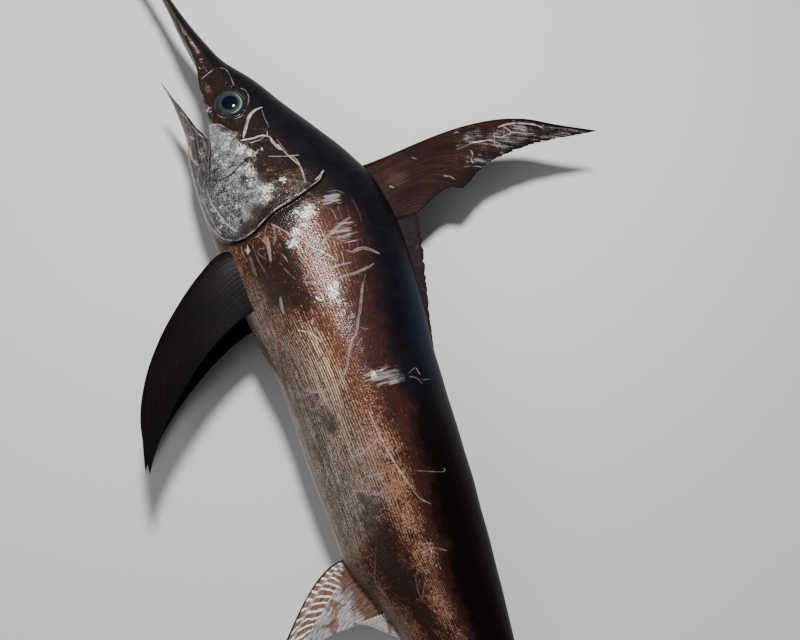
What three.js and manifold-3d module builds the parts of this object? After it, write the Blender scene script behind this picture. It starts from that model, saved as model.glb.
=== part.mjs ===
// A whole swordfish, life size, lying at rest on its right flank.
// Millimetres. X runs from the lower jaw's tip to the tail, Y to the back and Z up to the left flank.
// The floor is Z = 0, and at the end the whole fish is moved so that X = Y = 0 is the middle of its box.

import * as THREE from 'three';
import { mergeVertices } from 'three/addons/utils/BufferGeometryUtils.js';
import Module from 'manifold-3d';

const wasm = await Module();
wasm.setup();

// Driving sizes
const gap = 0.3;
const restHeight = 96;
const ringStep = 32;
const tailRingStep = 15;
const headRingStep = 24;
const bodySides = 32;
const billSides = 20;
const snoutCut = -20;
const jawFront = -12;
const jawRearEnd = 262;
const gillStart = 240;
const headEnd = 396;
const torsoStart = 256;
const torsoCuts = [640, 925, 1262];
const hypuralEnd = 1428;
const tailLevel = 34;
const tailReach = 318;
const tailDroop = 14;

// Stations of the head and body: x, back, widest level, belly, half width
const bodyStations = [
  [-40, -61, -76, -178, 26],
  [0, -40, -76, -166, 33],
  [60, 4, -66, -155, 48],
  [127, 43, -58, -151, 62],
  [190, 84, -52, -160, 74],
  [260, 127, -40, -162, 86],
  [330, 156, -28, -159, 95],
  [430, 167, -15, -152, 102],
  [540, 161, -6, -137, 104],
  [650, 148, 2, -121, 102],
  [780, 141, 8, -117, 98],
  [880, 136, 12, -111, 90],
  [930, 132, 13, -109, 84],
  [1000, 127, 20, -84, 76],
  [1070, 121, 30, -58, 65],
  [1140, 114, 36, -40, 54],
  [1210, 98, 36, -22, 43],
  [1280, 76, 35, -5, 33],
  [1340, 60, tailLevel, 8, 26],
  [1385, 70, tailLevel, -2, 15],
  [hypuralEnd, 78, tailLevel, -10, 5],
];
// How round the section is above and below its widest level: x, above, below
const bodyRoundness = [
  [-40, 2.3, 2.0],
  [127, 2.5, 1.9],
  [260, 2.2, 2.0],
  [430, 1.9, 2.1],
  [900, 1.9, 2.0],
  [1340, 2.0, 2.0],
];

// Stations of the bill, in the same order, from its tip to the snout
const billStations = [
  [-566, -198.2, -198.8, -199.4, 1.2],
  [-552, -194.5, -196.5, -198, 4.5],
  [-520, -185.5, -188.5, -190.5, 8],
  [-440, -165, -169, -172.5, 12],
  [-340, -140.5, -146, -150.5, 16],
  [-240, -116.5, -123.5, -129, 19.5],
  [-160, -98.5, -109, -115, 22.5],
  [-90, -77, -95, -106.5, 25.5],
  [snoutCut, -50.5, -76, -94.8, 29.3],
];
const billRoundness = [
  [-566, 2.0, 2.0],
  [-160, 2.0, 2.4],
  [snoutCut, 2.3, 4.5],
];

// The sideways sag of the tail towards the floor, and the keel on each side of the tail's stalk
const sag = { from: 760, to: 1400, depth: 52 };
const keel = { centre: 1345, halfLength: 95, height: 21, sharpness: 24 };

// Lines on the head, seen from the side: the mouth, the lower jaw's rear edge and the gill cover
const upperJawLine = [[-70, -104], [-36, -98], [jawFront, -93.5], [10, -93], [68, -100], [114, -102],
  [148, -105], [179, -109.5]];
const lowerJawLine = [[0, -165.4], [40, -155], [71, -143], [111, -132], [147, -121], [178, -111.5],
  [200, -114], [228, -123], [250, -130]];
const lowerJawSteps = 16;
const mouthCornerStep = 10;
const jawRear = [[254, -150], [256, -200]];
const jawSlimness = 1.4;
const gillFront = [[272, -154], [270, -118], [268, -96], [255, -66], [252, -30], [262, 10], [284, 46]];
const gillRear = [[310, 60], [326, 48], [342, 17], [354, -12], [364, -44], [384, -84], [387, -108],
  [378, -128], [358, -144], [320, -156]];
const napeLine = [[262, 200], [272, 150], [290, 100]];
const throatLine = [[306, -200]];
const gillStep = 3.5;
const gillRise = [262, 342];
const gillCore = 34;

// Eyes and nostrils: x and y on the head's side. The eyes lean back by a share of their axis.
const eye = { x: 123, y: -56, radius: 30, depth: 15, sunk: 5, lean: 0.16 };
const orbit = { radius: 29.5, tube: 4, flatness: 0.72, sunk: 0.5 };
const nostrils = [[72, -50], [83, -43]];
const nostrilSize = [4.2, 2.6, 3.4];

// A smooth curve y(x) through points that never swings past them
function curveThrough(points) {
  const count = points.length;
  const slopes = points.slice(1).map((p, i) => (p[1] - points[i][1]) / (p[0] - points[i][0]));
  const tangents = points.map((p, i) => {
    if (i === 0) return slopes[0];
    if (i === count - 1) return slopes[count - 2];
    const before = slopes[i - 1];
    const after = slopes[i];
    return before * after > 0 ? (2 * before * after) / (before + after) : 0;
  });
  return (x) => {
    let i = 0;
    while (i < count - 2 && x > points[i + 1][0]) i += 1;
    const width = points[i + 1][0] - points[i][0];
    const t = THREE.MathUtils.clamp((x - points[i][0]) / width, 0, 1);
    const rise = points[i + 1][1] - points[i][1];
    const bendIn = tangents[i] * width - rise;
    const bendOut = rise - tangents[i + 1] * width;
    return points[i][1] + t * rise + t * (1 - t) * ((1 - t) * bendIn + t * bendOut);
  };
}

function stationCurves(stations, roundness) {
  const column = (rows, index) => curveThrough(rows.map((row) => [row[0], row[index]]));
  return {
    back: column(stations, 1),
    widest: column(stations, 2),
    belly: column(stations, 3),
    half: column(stations, 4),
    above: column(roundness, 1),
    below: column(roundness, 2),
  };
}

const bodyCurves = stationCurves(bodyStations, bodyRoundness);
const billCurves = stationCurves(billStations, billRoundness);

function midLevel(x) {
  const t = THREE.MathUtils.clamp((x - sag.from) / (sag.to - sag.from), 0, 1);
  return restHeight - sag.depth * t * t * (3 - 2 * t);
}

function keelAt(x) {
  const along = (x - keel.centre) / keel.halfLength;
  return keel.height * Math.max(0, 1 - along * along) ** 1.5;
}

// A point of the skin: the angle starts at the back and turns over the left flank
function skinPoint(curves, x, angle, swell) {
  const up = Math.cos(angle);
  const out = Math.sin(angle);
  const power = 2 / (up > 0 ? curves.above(x) : curves.below(x));
  const widest = curves.widest(x);
  const reach = (up > 0 ? curves.back(x) - widest : widest - curves.belly(x)) + swell;
  const side = curves.half(x) + swell + keelAt(x) * Math.abs(out) ** keel.sharpness;
  const y = widest + Math.sign(up) * Math.abs(up) ** power * reach;
  const z = midLevel(x) + Math.sign(out) * Math.abs(out) ** power * side;
  return new THREE.Vector3(x, y, Math.max(z, 0));
}

function closedGeometry(points, faces) {
  const geometry = new THREE.BufferGeometry();
  const places = points.flatMap((p) => p.toArray());
  geometry.setAttribute('position', new THREE.Float32BufferAttribute(places, 3));
  geometry.setIndex(faces.flat());
  return geometry;
}

// Rings of points joined into one closed body, with a fan over each end
function loft(rings) {
  const sides = rings[0].length;
  const points = rings.flat();
  const faces = [];
  for (let ring = 0; ring < rings.length - 1; ring += 1) {
    for (let side = 0; side < sides; side += 1) {
      const next = (side + 1) % sides;
      const a = ring * sides + side;
      const b = ring * sides + next;
      faces.push([a, b, b + sides]);
      faces.push([a, b + sides, a + sides]);
    }
  }
  const middleOf = (ring) => ring.reduce((sum, p) => sum.add(p), new THREE.Vector3()).divideScalar(sides);
  const first = points.push(middleOf(rings[0])) - 1;
  const last = points.push(middleOf(rings[rings.length - 1])) - 1;
  const lastStart = (rings.length - 1) * sides;
  for (let side = 0; side < sides; side += 1) {
    const next = (side + 1) % sides;
    faces.push([first, next, side]);
    faces.push([last, lastStart + side, lastStart + next]);
  }
  return closedGeometry(points, faces);
}

// Ring places that every length of the body shares, so that neighbours have the same facets
function ringPlaces(from, to, step) {
  const places = [from];
  for (let x = Math.ceil((from + 1) / step) * step; x < to - 1; x += step) places.push(x);
  places.push(to);
  return places;
}

function bodyLength(from, to, swell = () => 0, step = ringStep) {
  const rings = ringPlaces(from, to, step).map((x) => {
    const ring = [];
    for (let side = 0; side < bodySides; side += 1) {
      ring.push(skinPoint(bodyCurves, x, (side / bodySides) * 2 * Math.PI, swell(x)));
    }
    return ring;
  });
  return loft(rings);
}

function toSolid(geometry) {
  const bare = geometry.clone();
  bare.deleteAttribute('normal');
  bare.deleteAttribute('uv');
  const merged = mergeVertices(bare, 1e-4);
  const vertProperties = new Float32Array(merged.attributes.position.array);
  const triVerts = new Uint32Array(merged.index.array);
  return new wasm.Manifold(new wasm.Mesh({ numProp: 3, vertProperties, triVerts }));
}

// The largest closed body of a solid, as a geometry
function toGeometry(solid) {
  const bodies = solid.decompose().sort((a, b) => b.volume() - a.volume());
  const mesh = bodies[0].getMesh();
  const geometry = new THREE.BufferGeometry();
  geometry.setAttribute('position', new THREE.Float32BufferAttribute(mesh.vertProperties, 3));
  geometry.setIndex(new THREE.BufferAttribute(mesh.triVerts, 1));
  return geometry;
}

// A side-view outline cut through from one level to another
function sidePrism(points, low, high) {
  const shape = new THREE.Shape(points.map(([x, y]) => new THREE.Vector2(x, y)));
  const geometry = new THREE.ExtrudeGeometry(shape, { depth: high - low, bevelEnabled: false });
  return toSolid(geometry.translate(0, 0, low));
}

// The same outline moved outwards by a distance
function grow(points, distance) {
  const turn = THREE.ShapeUtils.isClockWise(points.map(([x, y]) => new THREE.Vector2(x, y))) ? -1 : 1;
  return points.map((point, i) => {
    const before = points[(i + points.length - 1) % points.length];
    const after = points[(i + 1) % points.length];
    const normals = [[before, point], [point, after]].map(([a, b]) => (
      new THREE.Vector2(b[1] - a[1], a[0] - b[0]).normalize().multiplyScalar(turn)));
    const middle = normals[0].clone().add(normals[1]).normalize();
    const shift = distance / Math.max(0.5, middle.dot(normals[0]));
    return [point[0] + middle.x * shift, point[1] + middle.y * shift];
  });
}

function smoothLine(points, count) {
  const curve = new THREE.SplineCurve(points.map(([x, y]) => new THREE.Vector2(x, y)));
  return curve.getPoints(count).map((p) => [p.x, p.y]);
}

// A fin's blade: rays run from the base to the margin, as ridges raised in both of its faces.
// lead, rear, base and margin are its four edges, and level(x, y) is the height of its middle.
function finBlade({ lead, rear, base, margin, rays, steps, root, edge, ridge, level }) {
  const edges = [lead, rear, base, margin].map((points) => (
    new THREE.SplineCurve(points.map(([x, y]) => new THREE.Vector2(x, y)))));
  const columns = rays * 2 + 1;
  const rowsUp = steps + 1;
  const faceSize = columns * rowsUp;
  const middle = (across, along) => {
    const [onLead, onRear] = edges.slice(0, 2).map((curve) => curve.getPoint(along));
    const [onBase, onMargin] = edges.slice(2).map((curve) => curve.getPoint(across));
    const ends = edges.slice(2).flatMap((curve) => [curve.getPoint(0), curve.getPoint(1)]);
    return onLead.multiplyScalar(1 - across)
      .addScaledVector(onRear, across)
      .addScaledVector(onBase, 1 - along)
      .addScaledVector(onMargin, along)
      .addScaledVector(ends[0], -(1 - across) * (1 - along))
      .addScaledVector(ends[1], -across * (1 - along))
      .addScaledVector(ends[2], -(1 - across) * along)
      .addScaledVector(ends[3], -across * along);
  };
  const faces = [];
  const points = [1, -1].flatMap((side) => {
    const sheet = [];
    for (let row = 0; row < rowsUp; row += 1) {
      for (let column = 0; column < columns; column += 1) {
        const along = row / steps;
        const across = column / (columns - 1);
        const lens = Math.sin(Math.PI * across ** 0.55) ** 0.8;
        const inside = row < steps && column > 0 && column < columns - 1;
        const ray = inside && column % 2 === 1 ? ridge * (1 - 0.6 * along) : 0;
        const body = inside ? (root - edge) * (1 - along) ** 1.3 * lens : 0;
        const p = middle(across, along);
        const rise = side * (edge / 2 + body / 2 + ray);
        sheet.push(new THREE.Vector3(p.x, p.y, level(p.x, p.y) + rise));
      }
    }
    return sheet;
  });
  const quad = (a, b, c, d) => {
    faces.push([a, b, c]);
    faces.push([a, c, d]);
  };
  for (let row = 0; row < steps; row += 1) {
    for (let column = 0; column < columns - 1; column += 1) {
      const a = row * columns + column;
      quad(a, a + 1, a + 1 + columns, a + columns);
      const b = a + faceSize;
      faces.push([b, b + 1 + columns, b + 1]);
      faces.push([b, b + columns, b + 1 + columns]);
    }
  }
  const rim = [];
  for (let column = 0; column < columns - 1; column += 1) rim.push(column);
  for (let row = 0; row < steps; row += 1) rim.push(row * columns + columns - 1);
  for (let column = columns - 1; column > 0; column -= 1) rim.push(steps * columns + column);
  for (let row = steps; row > 0; row -= 1) rim.push(row * columns);
  rim.forEach((a, i) => {
    const b = rim[(i + 1) % rim.length];
    quad(b, a, a + faceSize, b + faceSize);
  });
  const solid = toSolid(closedGeometry(points, faces));
  if (solid.volume() > 0) return solid;
  return toSolid(closedGeometry(points, faces.map(([a, b, c]) => [a, c, b])));
}

// A place on the head's side and the direction in which the skin faces there
function surfaceFrame(x, y, side) {
  const find = (atX, atY) => {
    const widest = bodyCurves.widest(atX);
    const up = atY > widest;
    const reach = up ? bodyCurves.back(atX) - widest : widest - bodyCurves.belly(atX);
    const power = up ? bodyCurves.above(atX) : bodyCurves.below(atX);
    const part = THREE.MathUtils.clamp(Math.abs(atY - widest) / reach, 0, 1);
    return new THREE.Vector3(atX, atY, bodyCurves.half(atX) * (1 - part ** power) ** (1 / power));
  };
  const point = find(x, y);
  const alongX = find(x + 2, y).sub(point);
  const alongY = find(x, y + 2).sub(point);
  const normal = alongX.cross(alongY).normalize();
  point.z = midLevel(x) + side * point.z;
  normal.z *= side;
  return { point, normal };
}

function onSkin(geometry, x, y, side, lift, lean = 0) {
  const { point, normal } = surfaceFrame(x, y, side);
  normal.x += lean;
  normal.normalize();
  const turn = new THREE.Quaternion().setFromUnitVectors(new THREE.Vector3(0, 0, 1), normal);
  geometry.applyQuaternion(turn);
  const place = point.addScaledVector(normal, lift);
  return toSolid(geometry.translate(place.x, place.y, place.z));
}

function eyeball(side, extra) {
  const ball = new THREE.SphereGeometry(1, 18, 10);
  const radius = eye.radius + extra;
  ball.scale(radius, radius, eye.depth + extra);
  return onSkin(ball, eye.x, eye.y, side, -eye.sunk, eye.lean);
}

function eyeRim(side) {
  const ring = new THREE.TorusGeometry(orbit.radius, orbit.tube, 6, 20);
  ring.scale(1, 1, orbit.flatness);
  return onSkin(ring, eye.x, eye.y, side, -orbit.sunk, eye.lean);
}

function nostril([x, y], side) {
  const pit = new THREE.SphereGeometry(1, 7, 5);
  pit.scale(...nostrilSize);
  return onSkin(pit, x, y, side, 0);
}

const gillEdge = smoothLine(gillRear, 18);
const gillOutline = [...smoothLine(gillFront, 10), ...gillEdge];
const headOutline = [[-200, 260], ...napeLine, ...gillEdge, ...throatLine, [-200, -260]];
const lowerJawEdge = smoothLine(lowerJawLine, lowerJawSteps);
const jawOutline = [...lowerJawEdge, ...jawRear, [jawFront, -200], [jawFront, -170]];
const gapeFloor = lowerJawEdge.slice(0, mouthCornerStep + 1).reverse();
const gapeOutline = [...smoothLine(upperJawLine, 14), ...gapeFloor,
  [jawFront, -172], [jawFront, -230], [-70, -230]];
const farLeft = restHeight + 200;
const farRight = restHeight - 200;

// The head, with the mouth, the gill covers, the eye sockets and the nostrils cut out
function headSolid() {
  let head = toSolid(bodyLength(snoutCut + gap, headEnd, undefined, headRingStep));
  head = head.intersect(sidePrism(headOutline, farRight, farLeft));
  head = head.subtract(sidePrism(gapeOutline, farRight, farLeft));
  head = head.subtract(sidePrism(grow(jawOutline, gap), farRight, farLeft));
  for (const side of [1, -1]) {
    head = head.add(eyeRim(side));
    head = head.subtract(eyeball(side, gap));
    for (const place of nostrils) head = head.subtract(nostril(place, side));
    const inner = restHeight + side * gillCore;
    const outer = side > 0 ? farLeft : farRight;
    head = head.subtract(sidePrism(grow(gillOutline, gap), Math.min(inner, outer), Math.max(inner, outer)));
  }
  return head;
}

function lowerJawSolid() {
  const whole = toSolid(bodyLength(jawFront, jawRearEnd, () => -jawSlimness, headRingStep));
  return whole.intersect(sidePrism(jawOutline, farRight, farLeft));
}

function gillCoverSolid(side) {
  const [low, high] = gillRise;
  const swell = (x) => gillStep * THREE.MathUtils.clamp((x - low) / (high - low), 0, 1);
  const inner = restHeight + side * (gillCore + gap);
  const outer = side > 0 ? farLeft : farRight;
  const plate = toSolid(bodyLength(gillStart, headEnd, swell, headRingStep));
  return plate.intersect(sidePrism(gillOutline, Math.min(inner, outer), Math.max(inner, outer)));
}

function billSolid() {
  const places = billStations.flatMap((station, i) => {
    const next = billStations[i + 1];
    return next && next[0] - station[0] > 50 ? [station[0], (station[0] + next[0]) / 2] : [station[0]];
  });
  const rings = places.map((x) => {
    const ring = [];
    for (let side = 0; side < billSides; side += 1) {
      ring.push(skinPoint(billCurves, x, (side / billSides) * 2 * Math.PI, 0));
    }
    return ring;
  });
  return toSolid(loft(rings));
}

// The body round a fin's root, grown by the gap
function bodyRound(from, to, step = ringStep) {
  return toSolid(bodyLength(from, to, () => gap, step));
}

function firstDorsal() {
  return finBlade({
    lead: [[280, 120], [276, 175], [262, 285], [259, 352], [265, 415], [281, 468], [309, 518], [346, 590]],
    rear: [[399.7, 140], [399.7, 207]],
    base: [[280, 120], [340, 138], [399.7, 140]],
    margin: [[346, 590], [341, 513], [337, 454], [340, 392], [353, 343], [373, 300], [386, 250],
      [399.7, 207]],
    rays: 14,
    steps: 9,
    root: 12,
    edge: 1.4,
    ridge: 1.1,
    level: midLevel,
  }).subtract(bodyRound(200, 480));
}

function lowDorsal() {
  return finBlade({
    lead: [[400, 140], [400, 206]],
    rear: [[648, 132], [650, 149]],
    base: [[400, 140], [520, 140], [648, 132]],
    margin: [[400, 206], [443, 200], [519, 181], [585, 164], [650, 149]],
    rays: 9,
    steps: 3,
    root: 9,
    edge: 1.2,
    ridge: 0.8,
    level: midLevel,
  }).subtract(bodyRound(320, 720));
}

function secondDorsal() {
  return finBlade({
    lead: [[1192, 86], [1204, 112], [1224, 136], [1246, 149]],
    rear: [[1244, 68], [1252, 90]],
    base: [[1192, 86], [1220, 76], [1244, 68]],
    margin: [[1246, 149], [1240, 128], [1242, 108], [1252, 90]],
    rays: 4,
    steps: 5,
    root: 7,
    edge: 1,
    ridge: 0.7,
    level: midLevel,
  }).subtract(bodyRound(1120, 1300));
}

function firstAnal() {
  return finBlade({
    lead: [[932, -92], [934, -125], [948, -155], [974, -187], [1010, -222], [1050, -257], [1096, -296]],
    rear: [[1032 - gap, -56], [1034 - gap, -126]],
    base: [[932, -92], [980, -72], [1032 - gap, -56]],
    margin: [[1096, -296], [1066, -246], [1046, -198], [1036, -160], [1034 - gap, -126]],
    rays: 9,
    steps: 7,
    root: 11,
    edge: 1.3,
    ridge: 1,
    level: midLevel,
  }).subtract(bodyRound(860, 1160));
}

function lowAnal() {
  return finBlade({
    lead: [[1032, -56], [1034, -122]],
    rear: [[1074, -40], [1080, -58]],
    base: [[1032, -56], [1054, -48], [1074, -40]],
    margin: [[1034, -122], [1046, -97], [1080, -58]],
    rays: 4,
    steps: 3,
    root: 9,
    edge: 1.2,
    ridge: 0.8,
    level: midLevel,
  }).subtract(bodyRound(960, 1160));
}

function secondAnal() {
  return finBlade({
    lead: [[1176, -14], [1186, -42], [1204, -66], [1226, -80]],
    rear: [[1226, 4], [1234, -18]],
    base: [[1176, -14], [1200, -4], [1226, 4]],
    margin: [[1226, -80], [1220, -58], [1223, -38], [1234, -18]],
    rays: 4,
    steps: 5,
    root: 7,
    edge: 1,
    ridge: 0.7,
    level: midLevel,
  }).subtract(bodyRound(1100, 1300));
}

// A pectoral fin in its own side view: the root is where the paddle leaves the flank
const pectoral = {
  rootX: 440, rootY: -118, reach: 232.5, rise: 52, arch: 14, droop: 10, fall: 0.6, rightSweep: 7,
};

function pectoralFin(side) {
  const sweep = side > 0 ? 0 : -THREE.MathUtils.degToRad(pectoral.rightSweep);
  const place = ([x, y]) => {
    const dx = x - pectoral.rootX;
    const dy = y - pectoral.rootY;
    return [
      pectoral.rootX + dx * Math.cos(sweep) - dy * Math.sin(sweep),
      pectoral.rootY + dx * Math.sin(sweep) + dy * Math.cos(sweep),
    ];
  };
  const level = (x, y) => {
    const out = THREE.MathUtils.clamp((pectoral.rootY - y) / pectoral.reach, -0.2, 1);
    const lift = pectoral.arch * Math.sin(Math.PI * Math.max(0, out)) - pectoral.droop * out;
    const fall = -pectoral.fall * pectoral.rise * Math.max(0, out);
    return restHeight + side * pectoral.rise + (side > 0 ? lift : fall);
  };
  const lead = [[398, -112], [390, -150], [418, -194], [460, -242], [506, -286], [560, -324], [626, -350],
    [710, -356]];
  const margin = [[710, -356], [680, -338], [634, -302], [596, -264], [560, -222], [534, -186],
    [514, -150]];
  const blade = finBlade({
    lead: lead.map(place),
    rear: [[498, -108], [514, -150]].map(place),
    base: [[398, -112], [450, -104], [498, -108]].map(place),
    margin: margin.map(place),
    rays: 11,
    steps: 9,
    root: 13,
    edge: 1.4,
    ridge: 1,
    level,
  });
  return blade.subtract(bodyRound(320, 620));
}

// Half of the crescent tail: up is 1 for the upper lobe and -1 for the lower one
function tailLobe(up) {
  const place = ([x, out]) => [x, tailLevel + up * out];
  const level = (x, y) => midLevel(x) - tailDroop * (Math.abs(y - tailLevel) / tailReach) ** 2;
  const half = gap / 2;
  return finBlade({
    lead: [[1368, half], [1372, 48], [1388, 96], [1424, 168], [1480, 248], [1568, 320]].map(place),
    rear: [[1412, half], [1442, half]].map(place),
    base: [[1368, half], [1390, half], [1412, half]].map(place),
    margin: [[1568, 320], [1516, 232], [1478, 142], [1456, 66], [1442, half]].map(place),
    rays: 12,
    steps: 8,
    root: 16,
    edge: 1.5,
    ridge: 1.1,
    level,
  }).subtract(bodyRound(torsoCuts[2], hypuralEnd, tailRingStep));
}

const coats = {
  skin: new THREE.MeshStandardMaterial({ color: 0x4a3a30, roughness: 0.38, metalness: 0.1 }),
  belly: new THREE.MeshStandardMaterial({ color: 0x7d7a76, roughness: 0.4, metalness: 0.15 }),
  bill: new THREE.MeshStandardMaterial({ color: 0x2a2422, roughness: 0.45, metalness: 0 }),
  gill: new THREE.MeshStandardMaterial({ color: 0x8a8784, roughness: 0.35, metalness: 0.25 }),
  fin: new THREE.MeshStandardMaterial({ color: 0x17151a, roughness: 0.42, metalness: 0 }),
  eye: new THREE.MeshStandardMaterial({ color: 0x0b1426, roughness: 0.08, metalness: 0 }),
};

const fish = new THREE.Group();

function addPiece(name, solid, coat) {
  const mesh = new THREE.Mesh(toGeometry(solid), coats[coat].clone());
  mesh.name = name;
  fish.add(mesh);
}

addPiece('bill', billSolid(), 'bill');
addPiece('head', headSolid(), 'skin');
addPiece('lower_jaw', lowerJawSolid(), 'belly');
for (const [name, side] of [['left', 1], ['right', -1]]) {
  addPiece(`gill_cover_${name}`, gillCoverSolid(side), 'gill');
  addPiece(`eye_${name}`, eyeball(side, 0), 'eye');
  addPiece(`pectoral_fin_${name}`, pectoralFin(side), 'fin');
}

const torsoFront = toSolid(bodyLength(torsoStart, torsoCuts[0] - gap / 2));
addPiece('torso_front', torsoFront.subtract(sidePrism(grow(headOutline, gap), farRight, farLeft)), 'skin');
addPiece('torso_middle', toSolid(bodyLength(torsoCuts[0] + gap / 2, torsoCuts[1] - gap / 2)), 'skin');
addPiece('torso_rear', toSolid(bodyLength(torsoCuts[1] + gap / 2, torsoCuts[2] - gap / 2)), 'skin');
const tailStalk = toSolid(bodyLength(torsoCuts[2] + gap / 2, hypuralEnd - gap, undefined, tailRingStep));
addPiece('tail_stalk', tailStalk, 'skin');

addPiece('dorsal_fin_first', firstDorsal(), 'fin');
addPiece('dorsal_fin_low', lowDorsal(), 'fin');
addPiece('dorsal_fin_second', secondDorsal(), 'fin');
addPiece('anal_fin_first', firstAnal(), 'fin');
addPiece('anal_fin_low', lowAnal(), 'fin');
addPiece('anal_fin_second', secondAnal(), 'fin');
addPiece('tail_fin_upper', tailLobe(1), 'fin');
addPiece('tail_fin_lower', tailLobe(-1), 'fin');

const middle = new THREE.Box3().setFromObject(fish).getCenter(new THREE.Vector3());
fish.position.set(-middle.x, -middle.y, 0);

export default fish;
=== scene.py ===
import math

import bmesh
import bpy
import numpy as np
from bpy.props import FloatProperty, FloatVectorProperty, IntProperty, PointerProperty
from mathutils import Matrix, Vector


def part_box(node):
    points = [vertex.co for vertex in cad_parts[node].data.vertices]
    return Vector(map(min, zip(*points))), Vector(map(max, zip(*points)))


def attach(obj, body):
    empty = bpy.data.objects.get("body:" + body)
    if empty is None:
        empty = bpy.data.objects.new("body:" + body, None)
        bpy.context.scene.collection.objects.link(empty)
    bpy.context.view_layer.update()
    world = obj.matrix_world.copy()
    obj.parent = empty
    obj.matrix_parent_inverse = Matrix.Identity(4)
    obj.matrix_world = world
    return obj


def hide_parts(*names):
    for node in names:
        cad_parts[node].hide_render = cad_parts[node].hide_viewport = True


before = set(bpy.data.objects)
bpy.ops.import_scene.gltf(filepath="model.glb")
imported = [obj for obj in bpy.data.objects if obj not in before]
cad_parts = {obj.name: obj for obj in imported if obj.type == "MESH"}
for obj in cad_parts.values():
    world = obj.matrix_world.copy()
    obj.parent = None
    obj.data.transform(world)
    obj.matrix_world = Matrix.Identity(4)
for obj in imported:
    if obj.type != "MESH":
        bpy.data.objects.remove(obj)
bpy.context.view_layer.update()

bl_info = {
    "name": "Swordfish at rest",
    "version": (1, 0, 0),
    "blender": (4, 5, 0),
    "location": "3D View > Sidebar > Swordfish",
    "description": "Builds the skin, bill, eyes and fins of a life-size swordfish lying on its right flank",
    "category": "Add Mesh",
}

# The fish's own frame, in millimetres: x runs from the lower jaw's tip to the tail, y to the back
# and z up to the left flank, with the floor at 0. The part's box says where that frame lies.
MM = 0.001
BILL_TIP = -566
FIN_TIP = 590
SHIFT = np.array([
    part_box("bill")[0].x / MM - BILL_TIP,
    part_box("dorsal_fin_first")[1].y / MM - FIN_TIP,
    0,
])

REST_HEIGHT = 96
SNOUT_CUT = -20
TAIL_LEVEL = 34
TAIL_BONE_END = 1428

# Stations of the head and body: x, back, widest level, belly, half width
BODY_STATIONS = [
    (-40, -61, -76, -178, 26),
    (0, -40, -76, -166, 33),
    (60, 4, -66, -155, 48),
    (127, 43, -58, -151, 62),
    (190, 84, -52, -160, 74),
    (260, 127, -40, -162, 86),
    (330, 156, -28, -159, 95),
    (430, 167, -15, -152, 102),
    (540, 161, -6, -137, 104),
    (650, 148, 2, -121, 102),
    (780, 141, 8, -117, 98),
    (880, 136, 12, -111, 90),
    (930, 132, 13, -109, 84),
    (1000, 127, 20, -84, 76),
    (1070, 121, 30, -58, 65),
    (1140, 114, 36, -40, 54),
    (1210, 98, 36, -22, 43),
    (1280, 76, 35, -5, 33),
    (1340, 60, TAIL_LEVEL, 8, 26),
    (1385, 70, TAIL_LEVEL, -2, 15),
    (TAIL_BONE_END, 78, TAIL_LEVEL, -10, 5),
]
# How round the section is above and below its widest level: x, above, below
BODY_ROUNDNESS = [
    (-40, 2.3, 2.0), (127, 2.5, 1.9), (260, 2.2, 2.0), (430, 1.9, 2.1), (900, 1.9, 2.0), (1340, 2.0, 2.0),
]

BILL_STATIONS = [
    (BILL_TIP, -198.2, -198.8, -199.4, 1.2),
    (-552, -194.5, -196.5, -198, 4.5),
    (-520, -185.5, -188.5, -190.5, 8),
    (-440, -165, -169, -172.5, 12),
    (-340, -140.5, -146, -150.5, 16),
    (-240, -116.5, -123.5, -129, 19.5),
    (-160, -98.5, -109, -115, 22.5),
    (-90, -77, -95, -106.5, 25.5),
    (SNOUT_CUT, -50.5, -76, -94.8, 29.3),
    (10, -39, -70, -90, 33),
]
# How far the bill runs into the snout, and the height and length of the waves along its edges
BILL_OVERLAP, BILL_WAVE, BILL_WAVE_LENGTH = 14, 0.35, 9
BILL_ROUNDNESS = [(BILL_TIP, 2.0, 2.0), (-160, 2.0, 2.4), (SNOUT_CUT, 2.3, 4.5)]

# The tail's sideways sag and the keel on each side of the tail's stalk
SAG_FROM, SAG_TO, SAG_DEPTH = 760, 1400, 52
KEEL_CENTRE, KEEL_HALF_LENGTH, KEEL_HEIGHT, KEEL_SHARPNESS = 1345, 95, 21, 24

# Lines on the head, seen from the side
UPPER_JAW = [
    (-70, -104), (-36, -98), (-12, -93.5), (10, -93), (68, -100), (114, -102), (148, -105),
    (179, -109.5),
]
LOWER_JAW = [(0, -165.4), (56, -144), (107, -126.5), (147, -116), (179, -110.5)]
# The mouth's hollow: its depth, its half width as a share of the body's, its shares of the bone above
# and below, how far it runs back, and where it fades towards the corner
MOUTH_HOLLOW, MOUTH_WIDTH, ROOF_SHARE, FLOOR_SHARE, MOUTH_BACK = 15, 0.84, 0.35, 0.45, 26
MOUTH_CORNER, MOUTH_BACK_CORNER = (146, 181), (157, 179)
MOUTH_CREASE = [(179, -110), (200, -114), (220, -121), (234, -125.5), (248, -129), (262, -140)]
CHEEK_RIM = [(143, -108), (148, -101), (156, -88), (172, -76), (189, -63), (197, -70), (202, -79)]
GILL_REAR = [
    (310, 60), (326, 48), (342, 17), (354, -12), (364, -44), (384, -84), (387, -108), (378, -128),
    (358, -144), (320, -156),
]
GILL_CREASE = [(255, -128), (264, -113), (265, -96), (258, -81), (249, -64), (243, -50)]
GILL_LIFT_FROM, GILL_LIFT_TO, GILL_LIFT, GILL_EDGE = 262, 342, 3.5, 2.6
ORBIT_FOLD = [(92, -22), (107, -19), (122, -20), (135, -27), (147, -38)]
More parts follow.
